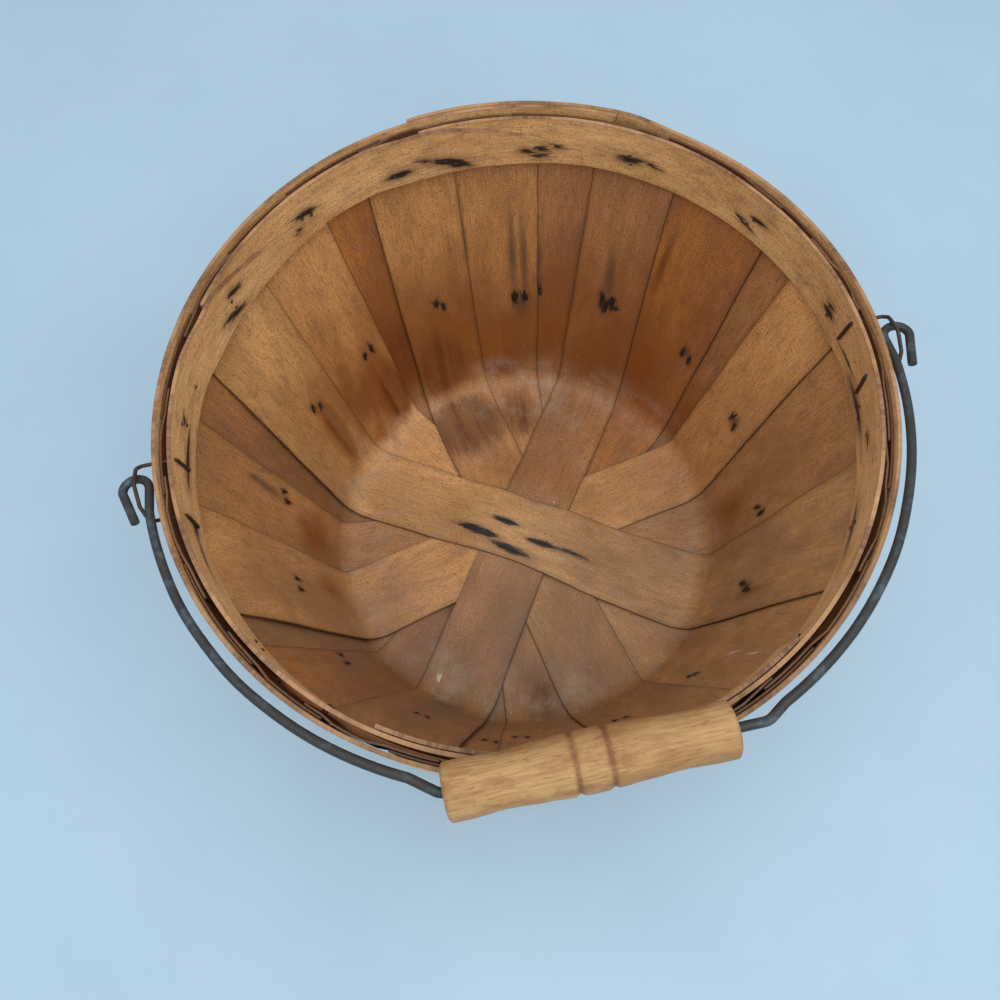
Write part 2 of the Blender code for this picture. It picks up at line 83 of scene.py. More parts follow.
# Wire and grip; what the CAD has too is explained there
BAIL_WIRE = 3.4 * MM
BAIL_STAND = 3.7 * MM
BAIL_SHIFT = 0.4 * MM
BOW_START = 8.9 * MM
BOW_LEAN = 0.8 * MM
HOOK_RADIUS = 5.0 * MM
HOOK_BACK = 6.4 * MM
HOOK_TIP = 12.0 * MM
HOOK_LEAN = 4.5 * MM
HOOK_INSET = 1.1 * MM
LEFT_ROOM = 1.2 * MM               # from the ends of the grip to the kinks in the wire
RIGHT_ROOM = 11.5 * MM
KINK_RUN = 8.0 * MM
EAR_WIRE = 1.5 * MM
EAR_DROP = 4.5 * MM
EAR_FORWARD = 7.3 * MM
EAR_HALF = 11.0 * MM
EAR_FRONT_LOW = 2.5 * MM
EAR_DRAW = 1.4 * MM
EAR_ARCH = 0.5 * (BAIL_WIRE + EAR_WIRE) + 0.85 * MM
EAR_LEG_Z = 155.0 * MM             # height of the clinched ends of an ear's legs
EAR_LEGS = {1.0: (12.5, -12.2), -1.0: (12.2, -12.2)}    # and how far forward they are, in mm
GRIP_LENGTH = 93.0 * MM
GRIP_SHIFT = -7.7 * MM
GRIP_RADIUS = 9.95 * MM
GRIP_BORE = 0.5 * BAIL_WIRE + 0.8 * MM
GRIP_OUT = RIM_RADIUS - 10.7 * MM  # from the bail axis to the grip's axis
GRIP_EDGE = 1.5 * MM
GROOVES = (0.445, 0.562)           # middles of the grip's grooves, as shares of its length
GROOVE_REACH = 0.017               # half the width of a groove, also as a share of that
GROOVE_DEPTH = 0.085               # as a share of the grip's radius
STAPLE_WIRE = 0.8 * MM
STAPLE_BEND = 0.7 * MM
CLINCH_HALF = 2.7                  # in mm, from the middle of a staple to a leg
CLINCH_FACE = 0.5 * STAVE_THICK + 0.3 * STAPLE_WIRE     # its wire over a stave's middle sheet
EAR_REACH = RIM_RADIUS + BAIL_STAND + HOOK_RADIUS - HOOK_INSET
AXIS_Y = -EAR_FORWARD
AXIS_Z = HEIGHT - EAR_DROP
BAIL_RADIUS = RIM_RADIUS + BAIL_STAND
BAIL_TILT = math.asin((EAR_DROP + GRIP_RADIUS + GAP) / GRIP_OUT)

# Angles at the rim, in degrees from +X, of the two ends of each stave, from the lowest stave up
STAVE_ENDS = [
    ((104, 123.5), (284, 303.5)), ((13.5, 33), (196.5, 215.5)), ((-28.5, -9.5), (151.5, 171)),
    ((58.5, 79.5), (239, 259)), ((26.1, 50.5), (209.2, 228.5)), ((118.2, 138.5), (294, 319.5)),
    ((-20.5, 5.2), (165.7, 184.5)), ((74.3, 95), (252.7, 276.5)), ((90.8, 108.6), (273.5, 295.9)),
    ((3.2, 18.7), (181.3, 203)), ((47.2, 63.5), (225.1, 246.2)), ((-42.9, -18.2), (134.9, 156)),
]


def paint(red, green, blue):
    """A colour as seen on a screen, 0 to 255, as the shader wants it."""
    line = []
    for value in (red, green, blue):
        part = value / 255.0
        line.append(part / 12.92 if part <= 0.04045 else ((part + 0.055) / 1.055) ** 2.4)
    return (*line, 1.0)


# Shape of the basket's wall

def corner_points():
    """Ends of the straight runs of the stave profile, as distances along it."""
    floor_end = FOOT_RADIUS - CORNER_RADIUS * math.tan(0.5 * WALL_ANGLE)
    bend_end = floor_end + CORNER_RADIUS * WALL_ANGLE
    turn = RIM_ANGLE - WALL_ANGLE
    cut = RIM_BEND_RADIUS * math.tan(0.5 * turn)
    wall_full = WALL_TOP / math.sin(WALL_ANGLE)
    wall_end = bend_end + wall_full - CORNER_RADIUS * math.tan(0.5 * WALL_ANGLE) - cut
    return floor_end, bend_end, wall_end, wall_end + RIM_BEND_RADIUS * turn


FLOOR_END, BEND_END, WALL_END, RIM_START = corner_points()
BEND_MIDDLE = 0.5 * (FLOOR_END + BEND_END)


def profile(dist):
    """Radius, height and inward normal of the outer face of the lowest layer."""
    if dist <= FLOOR_END:
        return dist, 0.0, 0.0, 1.0
    turn = min((dist - FLOOR_END) / CORNER_RADIUS, WALL_ANGLE)
    r = FLOOR_END + CORNER_RADIUS * math.sin(turn)
    z = CORNER_RADIUS * (1.0 - math.cos(turn))
    if dist <= BEND_END:
        return r, z, -math.sin(turn), math.cos(turn)
    run = min(dist, WALL_END) - BEND_END
    r += run * math.cos(WALL_ANGLE)
    z += run * math.sin(WALL_ANGLE)
    if dist <= WALL_END:
        return r, z, -math.sin(WALL_ANGLE), math.cos(WALL_ANGLE)
    angle = WALL_ANGLE + (min(dist, RIM_START) - WALL_END) / RIM_BEND_RADIUS
    r += RIM_BEND_RADIUS * (math.sin(angle) - math.sin(WALL_ANGLE))
    z += RIM_BEND_RADIUS * (math.cos(WALL_ANGLE) - math.cos(angle))
    if dist > RIM_START:
        r += (dist - RIM_START) * math.cos(RIM_ANGLE)
        z += (dist - RIM_START) * math.sin(RIM_ANGLE)
    return r, z, -math.sin(angle), math.cos(angle)


def ease(value, low, high):
    """0 below low, 1 above high and a soft rise between them."""
    part = min(max((value - low) / (high - low), 0.0), 1.0)
    return part * part * (3.0 - 2.0 * part)


def slant(value, low, high):
    """0 below low, 1 above high and a straight line between them."""
    return min(max((value - low) / (high - low), 0.0), 1.0)


def bell(value, middle, reach):
    """1 at the middle, falling softly to 0 at the reach."""
    return 1.0 - ease(abs(value - middle), 0.0, reach)


def layer(order, r):
    """Layer of a stave at a radius: twelve at the middle, then six, then three."""
    to_six = ease(r, SIX_FROM, SIX_TO)
    to_three = ease(r, THREE_FROM, FLOOR_END - THREE_BEFORE)
    inner = order + (order // 2 - order) * to_six
    return inner + (order // 4 - inner) * to_three


def climb(degrees, start):
    """How far, 0 to 1, a hoop has climbed over the strip that starts at an angle."""
    return ease(degrees, start - LAP_CLEAR - LAP_RUN, start - LAP_CLEAR)


def wander(position, seed, amount):
    """Slow, even-handed wobble along a length, the same on every run."""
    return amount * noise.noise(Vector((position, 7.31 * seed + 0.5, 0.37)))


def polar(r, z, degrees):
    """Point at a radius, a height and an angle round the basket."""
    angle = math.radians(degrees)
    return Vector((r * math.cos(angle), r * math.sin(angle), z))


# Making meshes

def strip(name, columns, rows, place):
    """Sheet of wood from a grid. place(column, row) gives a point, its place on the grain
    (across, along), how much it counts as a cut edge, how much painted shade it gets near a seam
    and how thick it is (0 to 1)."""
    bm = bmesh.new()
    bmesh.ops.create_grid(bm, x_segments=columns, y_segments=rows, size=0.5)
    grain = bm.loops.layers.uv.new("grain")
    edge = bm.verts.layers.float.new("edge")
    near = bm.verts.layers.float.new("seam_shade")
    weights = bm.verts.layers.deform.new()
    places = {}
    for vert in bm.verts:
        column = round((vert.co.x + 0.5) * columns)
        row = round((vert.co.y + 0.5) * rows)
        vert.co, places[vert], vert[edge], vert[near], vert[weights][0] = place(column, row)
    for face in bm.faces:
        for loop in face.loops:
            loop[grain].uv = places[loop.vert]
    bmesh.ops.recalc_face_normals(bm, faces=bm.faces)
    obj = finish_mesh(name, bm)
    obj.vertex_groups.new(name="thick")
    return obj


def add(name, data):
    """New object in the scene."""
    obj = bpy.data.objects.new(name, data)
    bpy.context.scene.collection.objects.link(obj)
    return obj


def finish_mesh(name, bm):
    """Object from a bmesh, shaded smooth."""
    mesh = bpy.data.meshes.new(name)
    bm.to_mesh(mesh)
    bm.free()
    mesh.shade_smooth()
    return add(name, mesh)


def board(obj, thickness, rounding):
    """Give a sheet its thickness and break its edges."""
    wall = obj.modifiers.new("thickness", "SOLIDIFY")
    wall.thickness = thickness
    wall.offset = 0.0
    wall.use_even_offset = True
    wall.vertex_group = "thick"
    wall.thickness_vertex_group = 0.15
    soft = obj.modifiers.new("broken edges", "BEVEL")
    soft.width = rounding
    soft.segments = 2
    soft.limit_method = "ANGLE"
    soft.angle_limit = math.radians(50.0)
    soft.harden_normals = True


def tube(bm, path, radius, sides):
    """Round wire along a path of points, capped at both ends; radius may change on the way."""
    count = len(path)
    ahead = (path[1] - path[0]).normalized()
    side = ahead.orthogonal().normalized()
    made = bmesh.ops.create_circle(bm, cap_ends=False, segments=sides, radius=1.0)
    ring = made["verts"]
    first = list(ring)
    edges = list({e for v in ring for e in v.link_edges})
    shape = [v.co.copy() for v in ring]
    for i, point in enumerate(path):
        before = path[max(i - 1, 0)]
        after = path[min(i + 1, count - 1)]
        ahead = (after - before).normalized()
        side = (side - ahead * side.dot(ahead)).normalized()
        up = ahead.cross(side)
        if i > 0:
            grown = bmesh.ops.extrude_edge_only(bm, edges=edges)
            new = [g for g in grown["geom"] if isinstance(g, bmesh.types.BMVert)]
            edges = [g for g in grown["geom"] if isinstance(g, bmesh.types.BMEdge)
                     and all(v in new for v in g.verts)]
            partner = {}
            for vert in new:
                for e in vert.link_edges:
                    other = e.other_vert(vert)
                    if other in ring:
                        partner[other] = vert
            ring = [partner[v] for v in ring]
        size = radius(i / (count - 1)) if callable(radius) else radius
        for vert, spot in zip(ring, shape):
            vert.co = point + (side * spot.x + up * spot.y) * size
    bmesh.ops.contextual_create(bm, geom=first)
    bmesh.ops.contextual_create(bm, geom=ring)


# Materials

class Recipe:
    """A material built up from shader nodes."""

    def __init__(self, name):
        self.material = bpy.data.materials.new(name)
        self.material.use_nodes = True
        self.tree = self.material.node_tree
        self.shader = self.tree.nodes["Principled BSDF"]

    def node(self, kind, inputs, output=0, **settings):
        """One output of a new shader node with the given inputs and settings."""
        made = self.tree.nodes.new("ShaderNode" + kind)
        for key, value in settings.items():
            setattr(made, key, value)
        for key, value in inputs.items():
            self.feed(made.inputs[key], value)
        return made.outputs[output]

    def feed(self, socket, value):
        if isinstance(value, bpy.types.NodeSocket):
            self.tree.links.new(value, socket)
        else:
            socket.default_value = value

    def grain(self):
        """Place on a sheet of wood: across the grain and along it, in metres."""
        return self.node("UVMap", {}, uv_map="grain")

    def place(self):
        return self.node("TexCoord", {}, output="Object")

    def value_of(self, name):
        return self.node("Attribute", {}, output="Fac", attribute_name=name)

    def axis(self, place, index):
        return self.node("SeparateXYZ", {0: place}, output=index)

    def math(self, operation, one, two):
        return self.node("Math", {0: one, 1: two}, operation=operation)

    def times(self, product, *others):
        for other in others:
            product = self.math("MULTIPLY", product, other)
        return product

    def vector(self, operation, one, two, output=0):
        return self.node("VectorMath", {0: one, 1: two}, output=output, operation=operation)

    def stretch(self, vector, scale, shift=(0.0, 0.0, 0.0)):
        return self.node("Mapping", {"Vector": vector, "Location": shift, "Scale": scale})

    def noise(self, vector, detail=2.0, rough=0.5, twist=0.0):
        return self.node("TexNoise", {"Vector": vector, "Scale": 1.0, "Detail": detail,
                                      "Roughness": rough, "Distortion": twist})

    def between(self, value, low, high, out_low=0.0, out_high=1.0):
        """Soft step from one output to the other as the value goes from low to high."""
        return self.node("MapRange", {"Value": value, "From Min": low, "From Max": high,
                                      "To Min": out_low, "To Max": out_high},
                         interpolation_type="SMOOTHSTEP")

    def mix(self, share, one, two, blend="MIX"):
        return self.node("Mix", {0: share, 6: one, 7: two}, output=2, data_type="RGBA",
                         blend_type=blend)

    def spots(self, grain, marks, ragged):
        """Mask of oval marks, given as (across, along, half width, half length, turn, soft)."""
        total = None
        loose = self.vector("ADD", grain, ragged)
        for across, along, wide, long, turn, soft in marks:
            inside = self.node("Mapping", {
                "Vector": loose, "Location": (across * MM, along * MM, 0.0),
                "Rotation": (0.0, 0.0, math.radians(turn)),
                "Scale": (wide * MM, long * MM, 1.0)}, vector_type="TEXTURE")
            far = self.vector("LENGTH", inside, (0.0, 0.0, 0.0), output="Value")
            mask = self.between(far, 1.0, 1.0 - soft)
            total = mask if total is None else self.math("MAXIMUM", total, mask)
        return total

    def raggedness(self, grain, amount):
        """Small shift of the grain's coordinates that frays the edge of a mark."""
        wave = self.node("TexNoise", {"Vector": self.stretch(grain, (900.0, 160.0, 1.0)),
                                      "Scale": 1.0, "Detail": 3.0}, output="Color")
        centred = self.vector("SUBTRACT", wave, (0.5, 0.5, 0.5))
        return self.vector("MULTIPLY", centred, (amount * 2.0 * MM, amount * 9.0 * MM, 0.0))

    def surface(self, color, rough, height, depth, strength):
        self.feed(self.shader.inputs["Base Color"], color)
        self.feed(self.shader.inputs["Roughness"], rough)
        bump = self.node("Bump", {"Strength": strength, "Distance": depth, "Height": height})
        self.feed(self.shader.inputs["Normal"], bump)


# Colours of the wood and of what has marked it
RUST_BLACK = paint(20, 13, 12)
# Rust-grey stain round staples and its streaks; also the colour of one painted shadow strip on
# stave 8
RUST_GREY_AND_SHADE = paint(80, 60, 48)
AMBER = paint(134, 74, 14)
DEEP_AMBER = paint(104, 50, 6)
PURPLE_BROWN = paint(82, 40, 16)
CHIP = paint(226, 216, 198)
DIRT = paint(72, 44, 24)
DUST = paint(176, 158, 140)
CUT_EDGE = paint(164, 124, 86)
LIFT = (1.17, 1.13, 1.05, 1.0)
EDGE_GRIME = paint(104, 68, 44)
# Painted shade, not a colour of the wood: it darkens the seams along stave and hoop edges and the
# stave ends under the rim hoops
PAINTED_SHADE = paint(58, 30, 10)
GRIME = paint(112, 88, 66)
GREY_WOOD = paint(138, 112, 84)
FIBRE_TINT = paint(206, 192, 176)

# Pairs of tones of the peeled wood, light and dark
TAN = (paint(226, 172, 112), paint(200, 146, 88))
HONEY = (paint(200, 148, 92), paint(168, 118, 66))
BROWN = (paint(180, 128, 78), paint(144, 96, 54))
OLIVE = (paint(222, 174, 116), paint(192, 147, 92))
TEA = (paint(184, 120, 54), paint(148, 88, 34))
HOOP_TONE = (paint(240, 199, 146), paint(214, 168, 114))

# Patterns in the wood: repeats per metre across and along the grain, detail, roughness, twist
PATTERNS = (
    (32.0, 12.0, 4.0, 0.6, 0.0),      # cloud: broad light and dark
    (210.0, 6.0, 3.0, 0.55, 0.4),     # band: long streaks
    (1500.0, 80.0, 4.0, 0.65, 0.0),   # fibre: fine lines
    (1300.0, 380.0, 2.0, 0.5, 0.0),   # dash: short lines
    (800.0, 620.0, 2.0, 0.6, 0.0),    # dot: dark dots
    (40.0, 26.0, 4.0, 0.6, 0.0),      # worn: where a cut edge has lost its dirt
    (130.0, 60.0, 4.0, 0.65, 0.0),    # blotch: patches of grime
    (2300.0, 1300.0, 2.0, 0.6, 0.0),  # fleck: finest grit, dark and pale
)


def wood(name, seed, tone, patches=(), edge=None, basin=False):
    """Thin wood with its fibres along the piece; patches are (colour, share, marks)."""
    light, dark = tone
    steps = Recipe(name)
    grain = steps.grain()
    shifted = steps.vector("ADD", grain, (0.37 * seed, 1.71 * seed, 0.0))
    cloud, band, fibre, dash, dot, worn, blotch, fleck = [
        steps.noise(steps.stretch(shifted, (across, along, 1.0)), detail, rough, twist)
        for across, along, detail, rough, twist in PATTERNS]
    color = steps.mix(steps.between(cloud, 0.34, 0.68), light, dark)
    color = steps.mix(steps.between(band, 0.42, 0.74, 0.0, 0.5), color, dark)
    color = steps.mix(1.0, color, LIFT, "MULTIPLY")
    tinted = steps.mix(1.0, color, FIBRE_TINT, "MULTIPLY")
    wear = ((fibre, 0.36, 0.66, 0.7, tinted), (blotch, 0.46, 0.72, 0.38, GRIME),
            (fleck, 0.46, 0.64, 0.5, DIRT), (fleck, 0.44, 0.32, 0.5, DUST),
            (dash, 0.59, 0.69, 0.5, DIRT), (dot, 0.64, 0.72, 0.8, DIRT))
    for pattern, low, high, share, over in wear:
        color = steps.mix(steps.between(pattern, low, high, 0.0, share), color, over)
    if basin:
        color = wall_stain(steps, color, cloud)
    ragged = steps.raggedness(shifted, 1.3)
    for patch, share, marks in patches:
        mask = steps.times(steps.spots(grain, marks, ragged), share)
        if patch in (AMBER, DEEP_AMBER, PURPLE_BROWN):
            mask = steps.times(mask, steps.between(blotch, 0.25, 0.6, 0.72, 1.0))
            patch = steps.mix(steps.between(band, 0.3, 0.75, 0.0, 0.35), patch, dark)
        color = steps.mix(mask, color, patch)
    if basin:
        color = basin_dust_and_rim_shade(steps, color)
    # Painted shade along the seams: darker near the long edges, where the step to the next layer
    # would cast a shadow
    near = steps.times(steps.value_of("seam_shade"), steps.between(cloud, 0.3, 0.6, 0.5, 0.9))
    color = steps.mix(near, color, PAINTED_SHADE)
    if edge is not None:
        cut = steps.times(steps.value_of("edge"), steps.between(dash, 0.3, 0.7, 1.0, 0.6))
        soiled = steps.mix(steps.between(worn, 0.42, 0.6), edge, EDGE_GRIME)
        color = steps.mix(cut, color, soiled)
    height = steps.math("ADD", steps.times(fibre, 0.6), steps.times(band, 0.4))
    steps.surface(color, steps.between(cloud, 0.3, 0.7, 0.52, 0.66), height, 0.3 * MM, 0.5)
    return steps.material


def wall_stain(steps, color, cloud):
    """Honey-brown stain low on the back wall, and greyer wood towards the front."""
    place = steps.place()
    back, high = steps.axis(place, 1), steps.axis(place, 2)
    stained = steps.times(
        steps.between(back, 0.045, 0.085), steps.between(high, 0.125, 0.05),
        steps.between(high, 0.008, 0.026), steps.between(cloud, 0.3, 0.62, 0.45, 0.95))
    color = steps.mix(stained, color, AMBER)
    grey = steps.times(
        steps.between(back, 0.05, -0.06, 0.12, 0.6), steps.between(high, 0.15, 0.03, 0.55, 1.0),
        steps.between(cloud, 0.36, 0.6, 0.5, 1.0))
    return steps.mix(grey, color, GREY_WOOD)


def basin_dust_and_rim_shade(steps, color):
    """Pale dust in the corner round the floor, specks of chaff, and shade under the rim."""
    place = steps.place()
    level = steps.vector("MULTIPLY", place, (1.0, 1.0, 0.0))
    out = steps.vector("LENGTH", level, (0.0, 0.0, 0.0), output="Value")
    high = steps.axis(place, 2)
    cloud = steps.noise(steps.stretch(place, (46.0, 46.0, 46.0)), 6.0, 0.72)
    grit = steps.noise(steps.stretch(place, (900.0, 900.0, 900.0)), 2.0, 0.6)
    broad = steps.noise(steps.stretch(place, (14.0, 14.0, 14.0), (2.0, 5.0, 1.0)), 2.0, 0.5)
    share = steps.times(
        steps.between(out, 0.06, 0.088), steps.between(high, 0.026, 0.012),
        steps.between(broad, 0.38, 0.6, 0.2, 1.0), steps.between(cloud, 0.44, 0.66, 0.0, 0.46))
    color = steps.mix(share, color, DUST)
    low = steps.between(high, 0.05, 0.02, 0.25, 1.0)
    specks = steps.times(low, steps.between(grit, 0.7, 0.76, 0.0, 0.8))
    color = steps.mix(specks, color, CHIP)
    # Painted shade: the stave ends above 160 mm, behind the rim hoops, turn dark
    return steps.mix(steps.between(high, 0.160, 0.166, 0.0, 0.75), color, PAINTED_SHADE)


def steel(name, base, worn, rust, metallic, rusty):
    """Old wire: dull steel with worn and rusty places; rusty is the share of rust."""
    steps = Recipe(name)
    place = steps.place()
    broad = steps.noise(steps.stretch(place, (120.0, 120.0, 120.0)), 4.0, 0.65)
    fine = steps.noise(steps.stretch(place, (1100.0, 1100.0, 1100.0)), 3.0, 0.65)
    color = steps.mix(steps.between(broad, 0.5, 0.74), base, worn)
    color = steps.mix(steps.between(fine, 0.62, 0.74, 0.0, 0.7), color, worn)
    color = steps.mix(steps.between(broad, 0.62 - rusty, 0.48 - rusty, 0.0, 0.8), color, rust)
    steps.shader.inputs["Metallic"].default_value = metallic
    steps.surface(color, steps.between(fine, 0.3, 0.7, 0.42, 0.66), fine, 0.15 * MM, 0.6)
    return steps.material


def turned_wood(name, middle):
    """Solid turned wood whose fibres run along X."""
    steps = Recipe(name)
    place = steps.vector("SUBTRACT", steps.place(), middle)
    broad = steps.noise(steps.stretch(place, (30.0, 90.0, 90.0)), 4.0, 0.6)
    patch = steps.noise(steps.stretch(place, (75.0, 150.0, 150.0), (3.0, 1.0, 2.0)), 5.0, 0.7)
    fibre = steps.noise(steps.stretch(place, (70.0, 1100.0, 1100.0)), 3.0, 0.6)
    dash = steps.noise(steps.stretch(place, (230.0, 1300.0, 1300.0)), 2.0, 0.5)
    color = steps.mix(steps.between(broad, 0.3, 0.7), paint(184, 149, 99), paint(160, 120, 72))
    color = steps.mix(steps.between(patch, 0.47, 0.7, 0.0, 0.8), color, paint(138, 90, 46))
    color = steps.mix(steps.between(fibre, 0.38, 0.68, 0.0, 0.65), color, paint(144, 100, 58))
    color = steps.mix(steps.between(dash, 0.6, 0.7, 0.0, 0.55), color, paint(120, 76, 42))
    dirt = steps.value_of("groove")
    dirt = steps.times(dirt, steps.between(patch, 0.35, 0.6, 0.4, 1.0))
    color = steps.mix(dirt, color, paint(112, 70, 40))
    steps.surface(color, 0.62, fibre, 0.3 * MM, 0.4)
    return steps.material


# Staples clinched through the middle hoop, in millimetres on the wood from the middle of the
# floor: number of the stave, across, along, turn of the crown
MID_STAPLES = [
    (9, -1.5, 169.8, 50), (8, -12.8, 164.2, 0), (4, 10, 169.9, 70), (11, -0.3, 169, 10),
    (5, -16, 163.3, 20), (10, -4.7, 161.6, 40), (7, -17, 161.4, -45), (12, -7.9, 160.2, -55),
    (6, 16.7, -166.1, 75), (9, 8.5, -169.1, 30), (8, 15.2, -158.2, 0), (4, -3, -169.3, 20),
    (11, 2.6, -166.9, -30), (5, 15, -163, 10), (10, 2.5, -168.4, 5), (7, 13.3, -168.3, -45),
    (12, 6.3, -168.8, 35), (6, -11.1, 164.8, -25),
]

# Marks on the staves, by the number of the stave and measured the same way: across, along, half
# width, half length, turn and how soft the edge is
AMBER_MARKS = {
    9: [(0, 130, 24, 42, 0, 0.7)],
    8: [(2, 124, 20, 36, 0, 0.7)],
    4: [(4, 138, 16, 26, 0, 0.9)],
    11: [(-8, 150, 7, 34, 0, 1), (0, 118, 18, 16, 0, 1)],
    5: [(4, 138, 15, 44, 0, 0.9)],
    6: [(-12, 130, 13, 36, 3, 0.35), (2, 108, 17, 15, 0, 0.7)],
    12: [(7, -142, 8.5, 38, 3, 0.5), (-13, 170, 5, 30, 0, 1)],
    7: [(-6, 132, 13, 30, 0, 1), (2, -136, 17, 26, 0, 0.8)],
    2: [(0, 130, 20, 40, 0, 1)],
    10: [(8, -130, 10, 20, 0, 1)],
}
DEEP_AMBER_MARKS = {
    9: [(6, 126, 20, 34, 0, 0.6)],
    8: [(0, 112, 16, 16, 0, 0.9)],
    1: [(0, 146, 22, 46, 0, 0.9)],
    6: [(-14, 126, 9.5, 30, 3, 0.45)],
    12: [(8, -140, 6, 32, 3, 0.5)],
    5: [(14, 206, 4, 30, 0, 1)],
}
PURPLE_MARKS = {
    9: [(2, 76, 28, 24, 0, 0.45)],
    8: [(-6, 74, 18, 22, 0, 0.8), (2, -90, 16, 26, 0, 1)],
    5: [(6, -52, 10, 14, 0, 1)],
    1: [(0, 84, 20, 16, 0, 1)],
}
GREY_MARKS = {
    # On stave 8 the last mark is a painted shadow: a dark strip along the seam where the edge of
    # stave 9 stands over it
    8: [(-9.6, 196, 3.2, 42, 0, 0.9), (-15.5, 192, 3.2, 40, 0, 0.9), (-13, 160, 7, 16, 0, 1),
        (14.3, 190, 1.6, 76, 0, 0.8)],
    4: [(10.5, 188, 2.6, 26, 0, 1), (11, 172, 4, 12, 0, 1)],
    11: [(1, 186, 4.8, 27, -5, 0.9), (0, 170, 7, 11, 0, 1), (4, -112, 14, 12, 0, 1)],
    10: [(-5.5, 163, 7, 9, 0, 1)],
    7: [(12, -186, 4.5, 24, 4, 0.9), (13, -198, 3, 12, -8, 1)],
    5: [(-15, 166, 5, 9, 0, 1)],
    12: [(-12.6, -4, 3, 17, 3, 1), (-8, -24, 3.2, 14, 0, 1), (-8, 162, 4, 9, 0, 1)],
}
BLACK_MARKS = {
    11: [(-2.6, 171.8, 2.3, 5.6, 28, 0.7), (2.8, 172.8, 2.2, 6.2, -16, 0.7),
         (0.2, 167.6, 2.6, 7.2, 4, 0.7), (-5.4, 169, 1.4, 3.8, 60, 0.8)],
    8: [(-9.4, 163.6, 2.4, 6.4, 0, 0.6), (-15, 164.4, 2.6, 5.4, 0, 0.6)],
    4: [(10.6, 169.4, 2.5, 6.4, -6, 0.6)],
    9: [(0.4, 171.6, 0.9, 5.2, -42, 0.7)],
    6: [(-8.3, 163.4, 1.4, 3.6, 4, 0.5), (-13.9, 166.2, 1.4, 4.2, 4, 0.5)],
    12: [(-8.1, -24.6, 2.7, 14, 3, 0.4), (1.7, -10.9, 2.2, 9.6, 0, 0.5),
         (-12.6, -4.5, 2.8, 16, 3, 0.5), (-3.8, 12, 2.3, 12.5, 0, 0.5),
         (-3.3, 27, 1.7, 16, -1, 0.9), (-5.1, 156.3, 1.8, 4.6, 8, 0.5),
         (-10.7, 164.2, 1.8, 4.8, 8, 0.5)],
}
PALE_MARKS = {
    11: [(12, -89.9, 1.4, 2.8, -20, 0.4)],
    6: [(3, -190, 1, 12, -6, 1), (4.6, -212, 0.8, 11, -6, 1)],
}
# Marks on the rim hoops: height over the lower edge in mm, degrees, and the rest as above
BAND_MARKS = {
    "inner_hoop_left_strip": [
        (6, 91.5, 2.9, 14.4, -20, 0.5), (10.5, 96.5, 1.4, 8.4, -22, 0.9),
        (7, 102.1, 2.5, 10.8, 5, 0.6), (7.5, 76.3, 2.1, 6, -10, 0.7), (9, 73.4, 2.2, 6, -14, 0.7),
        (4.8, 74, 1.8, 6, 5, 0.8), (10.6, 70.6, 1.5, 4.3, -20, 0.8), (13, 122.4, 2.4, 9, -8, 0.6)],
    "inner_hoop": [
        (10, 416.6, 2.7, 8.4, 3, 0.6), (10.8, 412.3, 1.4, 7.2, -12, 0.9),
        (8.4, 125, 1.8, 4.3, 30, 0.8), (15.5, 143.3, 2.1, 7.8, -17, 0.6),
        (6, 145.5, 2.4, 12, -19, 0.6), (13.8, 169.5, 1.3, 4.6, 30, 0.8),
        (8.5, 176, 1.8, 18.6, -3, 0.5), (10.5, 189.1, 2.8, 6, -6, 0.6),
        (11.6, 194, 1.3, 12.6, -5, 0.8), (8.9, 162.2, 1.3, 1.6, 0, 0.8),
        (7, 391.6, 1.5, 7.4, -18, 0.6), (13, 388.6, 1.5, 6.7, 0, 0.6),
        (10.2, 367.1, 2.2, 5.8, 0, 0.6), (13.6, 367.1, 1.5, 5, 6, 0.8),
        (7.4, 358.4, 0.8, 12, 6, 0.9), (5.4, 349.1, 2.2, 19.2, 3, 0.8),
        (11.8, 342.1, 1.8, 5.5, 12, 0.8), (6, 326.6, 2.4, 18, 4, 1)],
}

STAVE_TONES = (TEA, BROWN, BROWN, BROWN, TEA, TAN, HONEY, HONEY, HONEY, TAN, BROWN, OLIVE)


def staple_legs(across, along, turn):
    """Side and place, in mm, of the two legs of a staple whose crown is turned."""
    turn = math.radians(turn)
    for side in (-1.0, 1.0):
        yield (side, across + side * CLINCH_HALF * math.cos(turn),
               along + side * CLINCH_HALF * math.sin(turn))


def clinch_marks(number):
    """Rust marks round the two legs of every middle staple that shows on a stave."""
    marks = []
    for stave, across, along, turn in MID_STAPLES:
        if stave == number:
            for side, a, b in staple_legs(across, along, turn):
                marks.append((a, b, 2.0, 4.6, 8.0 * side, 0.7))
    return marks


def halo(marks, wider, longer):
    """Soft marks round sharp ones."""
    return [(u, v, wide * wider, long * longer, turn, 1.0) for u, v, wide, long, turn, _ in marks]


def stave_wood(number, name):
    """The wood of one stave, with its own tone and marks."""
    black = clinch_marks(number) + BLACK_MARKS.get(number, [])
    patches = [(AMBER, 0.9, AMBER_MARKS.get(number)),
               (DEEP_AMBER, 0.95, DEEP_AMBER_MARKS.get(number)),
               (PURPLE_BROWN, 0.85, PURPLE_MARKS.get(number)),
               (RUST_GREY_AND_SHADE, 0.72, GREY_MARKS.get(number)),
               (RUST_GREY_AND_SHADE, 0.5, halo(black, 2.0, 1.8)), (RUST_BLACK, 1.0, black),
               (CHIP, 0.8, PALE_MARKS.get(number))]
    patches = [patch for patch in patches if patch[2]]
    return wood(name + "_veneer", number, STAVE_TONES[number - 1], patches, basin=True)


# Pieces

